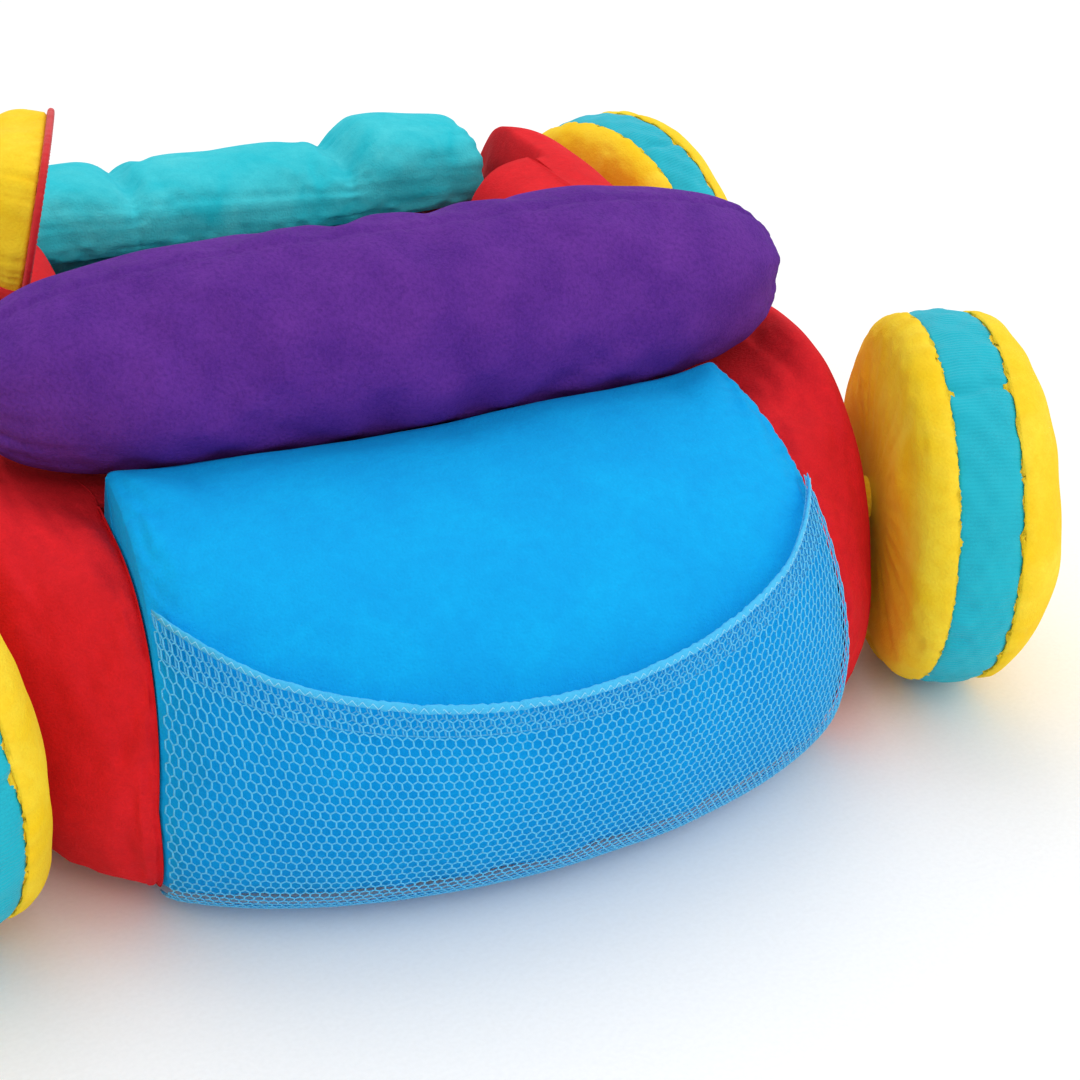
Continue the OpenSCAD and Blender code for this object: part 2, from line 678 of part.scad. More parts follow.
module pocket_net() {
    width = net_halves + 1;
    lattice = [for (row = [0:net_rows], column = [0:net_halves]) net_corner(column, row)];
    gaps = [
        for (cell = net_cells)
        let (ring = net_cell(cell[0], cell[1]))
        let (middle = [ring[0][0] + 1, cell[1] + 0.5])
        each [for (spot = ring) middle + net_opening * (spot - middle)]
    ];
    spots = concat(lattice, gaps);
    back = len(spots);
    points = concat(
        [for (spot = spots) net_place(spot, 0)],
        [for (spot = spots) net_place(spot, net_thickness)]
    );
    steps = [0, 1, 2, 2 + width, 1 + width, width];
    strands = [
        for (n = [0:len(net_cells) - 1], k = [0:5])
        let (origin = net_cells[n][1] * width + net_cells[n][0], next = (k + 1) % 6)
        let (a = origin + steps[k], b = origin + steps[next])
        let (c = len(lattice) + 6 * n + k, d = len(lattice) + 6 * n + next)
        each [
            [a, b, d], [a, d, c],
            [back + a, back + d, back + b], [back + a, back + c, back + d],
            [c, d, back + d], [c, back + d, back + c]
        ]
    ];
    // Half cells close the ends of the shifted rows
    halves = [
        for (row = [1:2:net_rows - 1], column = [0, net_halves - 1])
        let (a = row * width + column, b = a + 1, c = b + width, d = a + width)
        each [[a, b, c], [a, c, d], [back + a, back + c, back + b], [back + a, back + d, back + c]]
    ];
    rim_low = [for (column = [0:net_halves - 1]) each edge_wall(column, column + 1, back)];
    rim_top = [for (column = [0:net_halves - 1])
        let (a = net_rows * width + column)
        each edge_wall(a + 1, a, back)];
    rim_left = [for (row = [0:net_rows - 1]) each edge_wall((row + 1) * width, row * width, back)];
    rim_right = [for (row = [0:net_rows - 1])
        let (a = row * width + net_halves)
        each edge_wall(a, a + width, back)];
    color("#4FC3F0")
        polyhedron(points, concat(strands, halves, rim_low, rim_top, rim_left, rim_right), convexity = 10);
}

function edge_wall(a, b, back) = [[a, back + a, back + b], [a, back + b, b]];

module pocket_hem() {
    sides = 8;
    rings = 24;
    reach = pocket_half - hem_diameter / 2;
    skin_rings = [for (row = [0:rings])
        let (across = (-1 + 2 * row / rings) * reach / pocket_half)
        let (middle = pocket_spot(across, 1, net_thickness / 2) + [0, 0, hem_diameter / 2 + clearance])
        let (hem_wall_y = boot_rear_y(middle[0], middle[2] - hem_diameter / 2, clearance))
        let (lift = max(middle[1] + hem_diameter / 2 - hem_wall_y, 0))
        [for (side = [0:sides - 1])
            let (angle = 360 * side / sides)
            leaned(middle + [0, hem_diameter / 2 * cos(angle) - lift, hem_diameter / 2 * sin(angle)])]];
    color("#2FB4EE") skin(skin_rings);
}

// ---------- side mirror ----------
mirror_hinge_x = -ridge_x;
bead_radius = 2.5;
bead_room = 0.6;
mirror_hinge_z = shoulder_height + clearance + bead_radius + bead_room + 1;
mirror_face = mirror_depth / 2;
mirror_power = 3.2;
tab_width = 56;

// Local axes: X is the way the face looks, Z runs up the face and the hinge is at the origin
module at_mirror() {
    translate([mirror_hinge_x, mirror_y, mirror_hinge_z]) rotate([0, 0, -mirror_turn]) rotate([0, mirror_lean, 0]) children();
}

// Outline of the mirror at a share of its depth: 0 at the back and 1 at the face
function mirror_ring(share, inset, sides) =
    let (swell = dome(1 - share, 2.6, 2.2))
    let (half_y = (mirror_width / 2 - inset) * swell, half_z = (mirror_height / 2 - inset) * swell)
    let (x = mirror_face - mirror_film - clearance - (1 - share) * (mirror_depth - mirror_film - clearance))
    [for (side = [0:sides - 1])
        let (angle = 360 * (side + 0.5) / sides, c = cos(angle), s = sin(angle))
        [
            x + (share > 0.5 ? -inset * 0.5 : inset * 0.7),
            half_y * sign(c) * pow(abs(c), 2 / mirror_power),
            mirror_tab_height + mirror_height / 2 + half_z * sign(s) * pow(abs(s), 2 / mirror_power)
        ]];

module mirror_skin(inset, shares, sides) {
    skin([for (share = shares) mirror_ring(share, inset, sides)]);
}

module mirror_back() {
    color("#F7D117") at_mirror() hollow_cover() {
        mirror_skin(0, [0.02, 0.08, 0.2, 0.36, 0.56, 0.78, 1], 20);
        mirror_skin(cover_wall, [0.05, 0.2, 0.5, 1], 14);
    }
}

module mirror_filling() {
    color("white") at_mirror() mirror_skin(cover_wall + lining_gap, [0.05, 0.2, 0.5, 1], 14);
}

module mirror_outline(grow) {
    half_y = mirror_width / 2 + grow;
    half_z = mirror_height / 2 + grow;
    steps = 40;
    polygon([for (i = [0:steps - 1])
        let (angle = 360 * i / steps, c = cos(angle), s = sin(angle))
        [
            -mirror_tab_height - mirror_height / 2 - half_z * sign(s) * pow(abs(s), 2 / mirror_power),
            half_y * sign(c) * pow(abs(c), 2 / mirror_power)
        ]]);
}

module mirror_plate(grow, thickness) {
    translate([mirror_face - mirror_film, 0, 0]) rotate([0, 90, 0]) linear_extrude(thickness) mirror_outline(grow);
}

module mirror_rim() {
    color("#C8151D") at_mirror() difference() {
        mirror_plate(0, mirror_film + 2.5);
        translate([-1, 0, 0]) mirror_plate(-mirror_binding, mirror_film + 5);
    }
}

module mirror_film_panel() {
    color("#D5E2EA") at_mirror() mirror_plate(-mirror_binding - clearance, mirror_film);
}

// The tab is sewn to the mirror's lower edge and ends in a corded bead that turns in the anchor
module mirror_tab() {
    tab_thickness = 3;
    color("#C8151D") difference() {
        at_mirror() union() {
            rotate([90, 0, 0]) cylinder(h = tab_width, r = bead_radius, center = true, $fn = 32);
            translate([-tab_thickness / 2, -tab_width / 2, 0]) cube([tab_thickness, tab_width, mirror_tab_height + 12]);
        }
        at_mirror() mirror_skin(-clearance, [0.02, 0.08, 0.2, 0.36, 0.56, 0.78, 1], 20);
    }
}

// A strip on the shoulder with a round channel for the bead, open at the top
module mirror_anchor() {
    anchor_width = 16;
    anchor_top = mirror_hinge_z + 1.2;
    color("#B81C22") difference() {
        translate([mirror_hinge_x, mirror_y, 0]) rotate([0, 0, -mirror_turn]) difference() {
            translate([-anchor_width / 2, -tab_width / 2, shoulder_height - 6])
                cube([anchor_width, tab_width, anchor_top - shoulder_height + 6]);
            translate([0, 0, mirror_hinge_z]) rotate([90, 0, 0])
                cylinder(h = tab_width + 2, r = bead_radius + bead_room, center = true, $fn = 32);
            translate([0, 0, mirror_hinge_z]) rotate([90, 0, 0]) anchor_mouth(anchor_width);
        }
        mirror([1, 0, 0]) side_cushion_skin(-clearance);
    }
}

module anchor_mouth(width) {
    linear_extrude(tab_width + 2, center = true)
        polygon([[0, 0], [width, 6], [width, 14], [-width, 14], [-width, 6]]);
}

bottom_sheet();
boot_cover();
boot_filling();
bonnet_cover();
bonnet_filling();
side_cover_right();
side_filling_right();
side_cover_left();
side_filling_left();
seat_back_cover();
seat_back_foam();
seat_pad_cover();
seat_pad_foam();
backrest_roll_cover();
backrest_roll_filling();
dash_bolster_cover();
dash_bolster_filling();
dash_shelf_cover();
dash_shelf_foam();
pocket_net();
pocket_hem();
mirror_anchor();
mirror_tab();
mirror_back();
mirror_filling();
mirror_rim();
mirror_film_panel();
for (corner = CORNERS, piece = WHEEL_PIECES)
    wheel_piece(corner, piece);
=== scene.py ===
"""Plush floor seat for a baby, shaped like a small car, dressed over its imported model.

Sizes are in millimetres and become metres when a mesh is made. X points to the seat's right,
Y to its front and Z up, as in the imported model.
"""

import logging
import math
from dataclasses import dataclass
from enum import Enum

import bpy
import numpy as np
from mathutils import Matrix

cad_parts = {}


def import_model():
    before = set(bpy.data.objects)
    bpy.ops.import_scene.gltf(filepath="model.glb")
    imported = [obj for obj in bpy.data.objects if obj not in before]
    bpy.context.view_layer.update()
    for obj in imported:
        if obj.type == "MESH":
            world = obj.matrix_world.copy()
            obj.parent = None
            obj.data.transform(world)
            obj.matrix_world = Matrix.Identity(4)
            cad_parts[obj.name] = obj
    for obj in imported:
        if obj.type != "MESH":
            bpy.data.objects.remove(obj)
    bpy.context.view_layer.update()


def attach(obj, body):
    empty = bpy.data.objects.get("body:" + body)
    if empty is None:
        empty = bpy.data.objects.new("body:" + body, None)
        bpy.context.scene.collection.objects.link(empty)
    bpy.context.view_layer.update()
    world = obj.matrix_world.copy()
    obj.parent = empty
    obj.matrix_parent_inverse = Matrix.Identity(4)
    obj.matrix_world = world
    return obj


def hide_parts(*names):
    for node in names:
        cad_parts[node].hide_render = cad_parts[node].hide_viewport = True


LOG = logging.getLogger("plush_seat")
MM = 0.001
SINES = 5
SINE_SPREAD = 2.4
LUMP_WAVES = 6
LUMP_SPREAD = 2.6
Array = np.ndarray
Piece = bpy.types.Object
Tree = bpy.types.NodeTree
Node = bpy.types.Node
Socket = bpy.types.NodeSocket


# ---------------------------------------------------------------- shape formulas


def dome(share: Array, power: float, roundness: float) -> Array:
    """Height of a rounded hill: one less the share to a power, to one over the roundness.

    Args:
        share: Place from the middle, 0, to the foot, 1 or -1.
        power: How flat the middle is.
        roundness: How steep the foot is.

    Returns:
        Heights from 1 at the middle to 0 at the foot.
    """
    return np.maximum(1 - np.clip(np.abs(share), 0, 1) ** power, 0) ** (1 / roundness)


def smooth(step: Array) -> Array:
    """Three times the square less twice the cube of a step that is held within 0 and 1."""
    held = np.clip(step, 0, 1)
    return held * held * (3 - 2 * held)


def bell(distance: Array, width: float) -> Array:
    """Bell curve: e to the minus squared distance in widths."""
    return np.exp(-((np.asarray(distance) / width) ** 2))


def fade(distance: Array, width: float) -> Array:
    """Dying curve: e to the minus distance in widths, held at 1 before the start."""
    return np.exp(-np.maximum(distance, 0) / width)


def soft_cos(angle: Array, power: float) -> Array:
    """Cosine of a rounded square's angle: the cosine's size to two over the power, with its sign."""
    cosine = np.cos(angle)
    return np.sign(cosine) * np.abs(cosine) ** (2 / power)


def soft_sin(angle: Array, power: float) -> Array:
    """Sine of a rounded square's angle, as soft_cos has it."""
    sine = np.sin(angle)
    return np.sign(sine) * np.abs(sine) ** (2 / power)


def sines(place: Array, rates: Array, chance: np.random.Generator) -> Array:
    """Sines of the given rates and of drawn shifts, added, of about -1 to 1."""
    shifts = chance.uniform(0, 2 * np.pi, SINES)
    return np.sin(np.asarray(place)[..., None] * rates + shifts).sum(-1) / SINE_SPREAD


def ripple(place: Array, pitch: float, seed: int) -> Array:
    """Irregular wave along a seam: five sines of pitches near the given one, added.

    Args:
        place: Distance along the seam.
        pitch: Usual distance from one pucker to the next.
        seed: Which of the many such waves.

    Returns:
        Heights of about -1 to 1.
    """
    chance = np.random.default_rng(seed)
    return sines(place, chance.uniform(0.6, 1.6, SINES) * 2 * np.pi / pitch, chance)


def ring_ripple(angle: Array, lobes: int, seed: int) -> Array:
    """Irregular wave round a closed seam: five sines with whole numbers of lobes, added."""
    chance = np.random.default_rng(seed)
    return sines(angle, chance.integers(max(int(0.6 * lobes), 1), int(1.6 * lobes) + 2, SINES), chance)


def lumps(points: Array, pitch: float, seed: int) -> Array:
    """Unevenness of stuffing: six plane waves in seeded directions, added, of about -1 to 1."""
    chance = np.random.default_rng(seed)
    ways = chance.normal(size=(LUMP_WAVES, 3))
    rates = (2 * np.pi / pitch) * chance.uniform(0.7, 1.3, (LUMP_WAVES, 1))
    ways *= rates / np.linalg.norm(ways, axis=1, keepdims=True)
    return np.sin(points @ ways.T + chance.uniform(0, 2 * np.pi, LUMP_WAVES)).sum(-1) / LUMP_SPREAD


def uneven(points: Array, seed: int, *sizes: tuple[float, float]) -> Array:
    """Lumps of several heights and pitches, added; each next pair has the next seed."""
    return sum(height * lumps(points, pitch, seed + step) for step, (height, pitch) in enumerate(sizes))


def turns(count: int) -> Array:
    """Angles of equal steps round a ring, as one row."""
    return 2 * np.pi * np.arange(count)[None, :] / count


def running(path: Array) -> Array:
    """Running length of a path at each of its points."""
    return np.concatenate([[0], np.cumsum(np.linalg.norm(np.diff(path, axis=0), axis=1))])


def facing(points: Array) -> Array:
    """Unit direction out of a closed skin at each point of its grid.

    Along the rows and round the columns the neighbours' differences are crossed, and the whole
    grid is turned to point away from its middle.
    """
    down = np.gradient(points, axis=0)
    across = np.roll(points, -1, 1) - np.roll(points, 1, 1)
    out = np.cross(down, across)
    out /= np.maximum(np.linalg.norm(out, axis=-1, keepdims=True), 1e-9)
    middle = points.mean((0, 1))
    return out if (out * (points - middle)).sum() > 0 else -out


def stretched(grid: Array, rows: Array, columns: Array) -> Array:
    """A coarse grid of moves read at finer rows and columns, linearly, and round the columns.

    Args:
        grid: Moves of shape (rows, columns, 3).
        rows: Places from 0 to 1 down the grid.
        columns: Places from 0 to 1 round the grid.

    Returns:
        Moves of shape (len(rows), len(columns), 3).
    """
    high, wide = grid.shape[:2]
    closed = np.concatenate([grid, grid[:, :1]], axis=1)
    down = np.stack([np.interp(rows, np.linspace(0, 1, high), line) for line in np.eye(high)], 1)
    about = np.stack([np.interp(columns, np.linspace(0, 1, wide + 1), line) for line in np.eye(wide + 1)], 1)
    return np.einsum("ri,ijk,cj->rck", down, closed, about)


def eased(grid: Array, times: int) -> Array:
    """Each point moved half way to the mean of its four neighbours, a number of times."""
    for _ in range(times):
        padded = np.concatenate([grid[:1], grid, grid[-1:]], axis=0)
        mean = (padded[:-2] + padded[2:] + np.roll(grid, 1, 1) + np.roll(grid, -1, 1)) / 4
        grid = (grid + mean) / 2
    return grid


# ---------------------------------------------------------------- meshes


class Ends(Enum):
    """How the first and the last row of a grid are closed."""

    POLES = "a fan of triangles at each end"
    LOOP = "the last row joins the first"


def closed_mesh(name: str, points: Array, ends: Ends = Ends.POLES) -> Piece:
    """A closed mesh over a grid whose columns run round it.

    Args:
        name: Name of the object and its mesh.
        points: Grid of shape (rows, columns, 3), in millimetres.
        ends: How the rows end; a fan has its point at the middle of the end row.

    Returns:
        The object at the origin, with smooth faces that point outwards.
    """
    rows, columns = points.shape[:2]
    index = np.arange(rows * columns).reshape(rows, columns)
    beside = np.roll(index, -1, 1)
    if ends is Ends.LOOP:
        below, below_beside = np.roll(index, -1, 0), np.roll(beside, -1, 0)
        quads = np.stack([index, beside, below_beside, below], -1).reshape(-1, 4)
    else:
        quads = np.stack([index[:-1], beside[:-1], beside[1:], index[1:]], -1).reshape(-1, 4)
    vertices = points.reshape(-1, 3)
    corners = vertices[quads]
    spread = np.cross(corners[:, 1], corners[:, 2]) + np.cross(corners[:, 2], corners[:, 3])
    volume = np.einsum("fi,fi->", corners[:, 0], spread)
    faces = quads.tolist()
    if ends is Ends.POLES:
        first, last = len(vertices), len(vertices) + 1
        vertices = np.concatenate([vertices, points[[0, -1]].mean(1)])
        faces += np.stack([np.full(columns, first), beside[0], index[0]], -1).tolist()
        faces += np.stack([np.full(columns, last), index[-1], beside[-1]], -1).tolist()
    if volume < 0:
        faces = [face[::-1] for face in faces]
    return placed_mesh(name, vertices, faces)


def placed_mesh(name: str, vertices: Array, faces: list) -> Piece:
    """A smooth mesh object at the origin, made of points in millimetres and lists of corners."""
    mesh = bpy.data.meshes.new(name)
    mesh.from_pydata((vertices * MM).tolist(), [], faces)
    mesh.polygons.foreach_set("use_smooth", np.ones(len(faces), bool))
    mesh.update()
    made = bpy.data.objects.new(name, mesh)
    bpy.context.scene.collection.objects.link(made)
    return made


def rods(starts: Array, ends: Array, radius: Array, sides: int = 5) -> tuple[Array, Array]:
    """Straight closed prisms, such as strands of a net or stitches.

    Each has a ring of corners about its start and one about its end, at the radius times the
    cosine and sine of equal angles along two directions square to the rod.

    Args:
        starts: First points, of shape (n, 3).
        ends: Last points, of shape (n, 3).
        radius: One radius for all, or one for each.
        sides: Corners of a ring.

    Returns:
        Vertices of shape (n * sides * 2, 3) and triangles that index them.
    """
    along = ends - starts
    along /= np.maximum(np.linalg.norm(along, axis=1, keepdims=True), 1e-9)
    helper = np.where(np.abs(along[:, 2:]) < 0.9, [[0.0, 0.0, 1.0]], [[1.0, 0.0, 0.0]])
    one = np.cross(along, helper)
    one /= np.linalg.norm(one, axis=1, keepdims=True)
    two = np.cross(along, one)
    angle = np.arange(sides) * 2 * np.pi / sides
    ring = np.cos(angle)[None, :, None] * one[:, None] + np.sin(angle)[None, :, None] * two[:, None]
    ring *= np.broadcast_to(np.asarray(radius, float), len(starts))[:, None, None]
    vertices = np.stack([starts[:, None] + ring, ends[:, None] + ring], 1).reshape(-1, 3)
    side = np.arange(sides)
    beside = (side + 1) % sides
    fan = np.arange(1, sides - 1)
    corners = [
        (side, beside, beside + sides),
        (side, beside + sides, side + sides),
        (0 * fan, fan + 1, fan),
        (0 * fan + sides, fan + sides, fan + 1 + sides),
    ]
    block = np.concatenate([np.stack(three, -1) for three in corners])
    faces = block[None] + (np.arange(len(starts)) * 2 * sides)[:, None, None]
    return vertices, faces.reshape(-1, 3)


def stitch_row(
    name: str, path: Array, lift: Array, spacing: float, length: float, radius: float
) -> Piece:
    """A row of sewn stitches along a path, each a short bowed thread of three rods.

    The path is measured by its running length, a stitch starts at every spacing, and its middle
    stands out by a thread's radius along the lift direction.

    Args:
        name: Name of the piece.
        path: Points along the seam, of shape (n, 3).
        lift: Unit directions out of the cloth at those points.
        spacing: Distance from one stitch to the next.
        length: Length of a stitch.
        radius: Radius of the thread.

    Returns:
        The piece.
    """
    run = running(path)
    begin = np.arange(0, run[-1] - length, spacing)
    places = begin[:, None] + np.array([0, 0.3, 0.7, 1]) * length
    heights = np.array([-0.7, 0.5, 0.5, -0.7]) * radius
    spots, ups = (np.stack([np.interp(places, run, line) for line in lines.T], -1) for lines in (path, lift))
    spots = spots + ups * heights[None, :, None]
    vertices, faces = rods(spots[:, :-1].reshape(-1, 3), spots[:, 1:].reshape(-1, 3), radius, 6)
    return placed_mesh(name, vertices, faces.tolist())


# ---------------------------------------------------------------- finishes


def linear(hex_colour: str) -> tuple[float, float, float, float]:
    """An sRGB hex colour as linear red, green, blue and a full alpha."""
    parts = [int(hex_colour[i : i + 2], 16) / 255 for i in (1, 3, 5)]
    return (*(part / 12.92 if part <= 0.04045 else ((part + 0.055) / 1.055) ** 2.4 for part in parts), 1.0)


def fill_inputs(tree: Tree, node: Node, inputs: dict) -> None:
    """Links each input from the output that is given for it, or sets it to the value."""
    for name, value in inputs.items():
        if isinstance(value, Socket):
            tree.links.new(value, node.inputs[name])
        else:
            node.inputs[name].default_value = value


def add_node(tree: Tree, kind: str, inputs: dict | None = None, **settings: object) -> Node:
    """Adds a node with its settings, and links or fills its inputs.

    Args:
        tree: Node tree of the material.
        kind: Blender's name of the node.
        inputs: Input name or number to a value, or to the output that it is linked from.
        settings: Properties of the node.

    Returns:
        The node.
    """
    node = tree.nodes.new(kind)
    for name, value in settings.items():
        setattr(node, name, value)
    fill_inputs(tree, node, inputs or {})
    return node


def reckoned(tree: Tree, operation: str, *values: object) -> Socket:
    """Result of one arithmetic step on numbers and outputs."""
    return add_node(tree, "ShaderNodeMath", dict(enumerate(values)), operation=operation).outputs[0]


def relief(tree: Tree, height: Socket, depth_mm: float, strength: float) -> Socket:
    """Normals of a surface that a height pattern raises by up to a real depth."""
    return add_node(
        tree, "ShaderNodeBump", {"Height": height, "Distance": depth_mm * MM, "Strength": strength}
    ).outputs["Normal"]


class Finish:
    """A material that is made once and then shared by the pieces that have it."""

    label: str
    made: dict[str, bpy.types.Material] = {}

    def paint(self, tree: Tree, shader: Node, place: Socket) -> None:
        """Sets the shader's values and links its patterns, from the place on the object in metres."""
        raise NotImplementedError

    def material(self) -> bpy.types.Material:
        """The material, made at the first call."""
        if self.label not in Finish.made:
            made = bpy.data.materials.new(self.label)
            made.use_nodes = True
            tree = made.node_tree
            shader = tree.nodes["Principled BSDF"]
            self.paint(tree, shader, add_node(tree, "ShaderNodeTexCoord").outputs["Object"])
            Finish.made[self.label] = made
        return Finish.made[self.label]

    def dress(self, piece: Piece) -> None:
        """Gives a piece this finish alone."""
        piece.data.materials.clear()
        piece.data.materials.append(self.material())


def speckle(
    tree: Tree, place: Socket, size_mm: float, low: float, high: float, **more: float
) -> Socket:
    """Noise of a real grain size, spread so that its low and high values become 0 and 1.

    Args:
        tree: Node tree of the material.
        place: Place on the object, in metres.
        size_mm: Size of a grain or patch.
        low: Noise value that becomes 0.
        high: Noise value that becomes 1.
        more: Further inputs of the noise, such as Detail.

    Returns:
        The output with the spread noise.
    """
    inputs = {"Vector": place, "Scale": 1 / (size_mm * MM), "Detail": 2.0, **more}
    noise = add_node(tree, "ShaderNodeTexNoise", inputs).outputs["Fac"]
    spread = {"Value": noise, "From Min": low, "From Max": high}
    return add_node(tree, "ShaderNodeMapRange", spread).outputs["Result"]


def tinted(tree: Tree, share: Socket, first: object, second: object) -> Socket:
    """Colour that goes from the first to the second with the share."""
    inputs = {"Factor": share, "A": first, "B": second}
    return add_node(tree, "ShaderNodeMix", inputs, data_type="RGBA").outputs["Result"]


@dataclass(frozen=True)
class Velour(Finish):
    """Polyester velour: a knit with a short sheared pile.

    The eye sees a matt, even colour that goes lighter and darker in hand-sized strokes where the
    pile leans another way, a faint grain of pile tips, and a pale bloom where it turns away.
    The pile is finer than a pixel, so its grain is drawn 1.6 mm wide.
    """

    label: str
    lit: str
    middle: str
    deep: str
    stroke_mm: float = 46
    grain_mm: float = 1.6
    bloom: float = 0.22

    def paint(self, tree: Tree, shader: Node, place: Socket) -> None:
        """Strokes over mottling over pile grain, for the colour and for a shallow bump."""
        strokes = speckle(tree, place, self.stroke_mm, 0.32, 0.68, Detail=3.0, Distortion=0.6)
        mottle = speckle(tree, place, 7, 0.3, 0.75, Detail=3.0)
        grain = speckle(tree, place, self.grain_mm, 0.3, 0.7, Detail=2.0)
        colour = tinted(tree, strokes, linear(self.middle), linear(self.lit))
        for pattern, share in ((mottle, 0.3), (grain, 0.2)):
            colour = tinted(tree, reckoned(tree, "MULTIPLY", pattern, share), colour, linear(self.deep))
        inputs = {
            "Base Color": colour,
            "Normal": relief(tree, reckoned(tree, "ADD", grain, mottle), 0.35, 0.6),
            "Roughness": 0.88,
            "Specular IOR Level": 0.18,
            "Sheen Weight": self.bloom,
            "Sheen Roughness": 0.45,
            "Sheen Tint": linear(self.lit),
        }
        fill_inputs(tree, shader, inputs)


@dataclass(frozen=True)
class Fleece(Finish):
    """Brushed microfibre fleece.

    The eye sees a dense colour broken by fine paler specks of fibre ends, 1.5 mm apart, and soft
    blotches where the nap was stroked. It shines less than velour.
    """

    label: str
    lit: str
    middle: str
    deep: str

    def paint(self, tree: Tree, shader: Node, place: Socket) -> None:
        """Fine specks of two colours over blotches, with the specks as the bump."""
        blotch = speckle(tree, place, 30, 0.3, 0.7, Detail=3.0)
        specks = speckle(tree, place, 1.5, 0.42, 0.72, Detail=3.0, Roughness=0.7)
        pits = speckle(tree, place, 2.6, 0.3, 0.62, Detail=2.0)
        colour = tinted(tree, reckoned(tree, "MULTIPLY", blotch, 0.55), linear(self.middle), linear(self.lit))
        dark = reckoned(tree, "MULTIPLY_ADD", pits, -0.42, 0.42)
        colour = tinted(tree, dark, colour, linear(self.deep))
        colour = tinted(tree, reckoned(tree, "MULTIPLY", specks, 0.4), colour, linear(self.lit))
        inputs = {
            "Base Color": colour,
            "Normal": relief(tree, reckoned(tree, "ADD", specks, pits), 0.45, 0.7),
            "Roughness": 0.93,
            "Specular IOR Level": 0.12,
            "Sheen Weight": 0.16,
            "Sheen Roughness": 0.5,
            "Sheen Tint": linear(self.lit),
        }
        fill_inputs(tree, shader, inputs)


@dataclass(frozen=True)
class Knit(Finish):
    """Smooth filament cloth: the ribbed tread knit, the net's yarn, tape and thread.

    The eye sees a clean colour with a little more shine than pile has, and fine darker flecks
    between the threads.
    """

    label: str
    lit: str
    deep: str
    fleck_mm: float = 0.9
    fleck: float = 0.35
    roughness: float = 0.62
    shine: float = 0.35

    def paint(self, tree: Tree, shader: Node, place: Socket) -> None:
        """Flecks and slow patches between two colours, with the flecks as the bump."""
        flecks = speckle(tree, place, self.fleck_mm, 0.35, 0.7)
        patches = speckle(tree, place, 24, 0.3, 0.7, Detail=2.0)
        both = reckoned(tree, "MULTIPLY", flecks, patches)
        share = reckoned(tree, "MULTIPLY", both, self.fleck * 1.6)
        inputs = {
            "Base Color": tinted(tree, share, linear(self.lit), linear(self.deep)),
            "Normal": relief(tree, flecks, 0.15, 0.5),
            "Roughness": self.roughness,
            "Specular IOR Level": self.shine,
            "Sheen Weight": 0.12,
            "Sheen Roughness": 0.4,
        }
        fill_inputs(tree, shader, inputs)


@dataclass(frozen=True)
class MirrorFilm(Finish):
    """Aluminised polyester film on a stiffener.

    The eye sees a clear bright reflection that waves a little, with a faint haze of fine scuffs.
    """

    label: str = "aluminised_polyester_film"

    def paint(self, tree: Tree, shader: Node, place: Socket) -> None:
        """Low roughness with scuffs 5 mm long, over slow waves 30 mm across as the bump."""
        scuffs = speckle(tree, place, 5, 0.45, 0.8, Detail=6.0, Roughness=0.7)
        waves = speckle(tree, place, 30, 0.2, 0.8, Detail=1.0)
        inputs = {
            "Base Color": tinted(tree, scuffs, linear("#E6ECF0"), linear("#CCD6DC")),
            "Normal": relief(tree, waves, 0.8, 0.5),
            "Roughness": reckoned(tree, "MULTIPLY_ADD", scuffs, 0.12, 0.05),
            "Metallic": 1.0,
        }
        fill_inputs(tree, shader, inputs)


@dataclass(frozen=True)
class PaleFloor(Finish):
    """Matt white photographic board; it shows pure white to the camera but for the object's shadow."""

    label: str = "white_board"

    def paint(self, tree: Tree, shader: Node, place: Socket) -> None:
        """A near white matt colour with a very faint grain."""
        grain = speckle(tree, place, 3, 0.3, 0.7)
        colour = tinted(tree, grain, linear("#FCFCFC"), linear("#F8F8F8"))
        fill_inputs(tree, shader, {"Base Color": colour, "Roughness": 0.9, "Specular IOR Level": 0.1})


RED = Velour("velour_red", lit="#EA2029", middle="#D81B24", deep="#B0161E")
BLUE = Velour("velour_blue", lit="#00AEF0", middle="#00A4EA", deep="#0090D6", bloom=0.08)
AQUA = Velour("velour_aqua", lit="#4FD0DA", middle="#22C2D2", deep="#12A9BC", bloom=0.25)
YELLOW = Velour("velour_yellow", lit="#FBDF3E", middle="#F7CE1A", deep="#EDB110")
PURPLE = Fleece("fleece_purple", lit="#7339A0", middle="#56288A", deep="#421E72")
TREAD = Knit("ribbed_knit_teal", lit="#00B4C8", deep="#008FA6", fleck=0.3)
NET_YARN = Knit("net_yarn_blue", lit="#5CC8F4", deep="#35AEE6", fleck=0.3, roughness=0.5, shine=0.4)
HEM = Knit("net_hem_blue", lit="#3FBBEE", deep="#1E9CD8", fleck=0.45)
TAPE = Knit("binding_tape_red", lit="#D01A22", deep="#A2121A", fleck=0.4)
THREAD = Knit("sewing_thread_blue", lit="#8AD8F8", deep="#5CC0EC", fleck=0.2)
RED_THREAD = Knit("sewing_thread_red", lit="#E03038", deep="#B81C24", fleck=0.2)
UNDERCLOTH = Knit(
    "woven_undercloth_grey", lit="#4A5660", deep="#343E46", fleck_mm=1.4, fleck=0.5, roughness=0.85
)


def declared(piece: Piece, finish: Finish, body: str, slot: str, *nodes: str) -> Piece:
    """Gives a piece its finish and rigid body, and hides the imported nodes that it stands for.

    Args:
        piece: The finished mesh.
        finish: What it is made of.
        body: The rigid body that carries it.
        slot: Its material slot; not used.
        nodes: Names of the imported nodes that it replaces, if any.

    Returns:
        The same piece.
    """
    finish.dress(piece)
    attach(piece, body)
    if nodes:
        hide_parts(*nodes)
    return piece


# ---------------------------------------------------------------- the pattern of the body


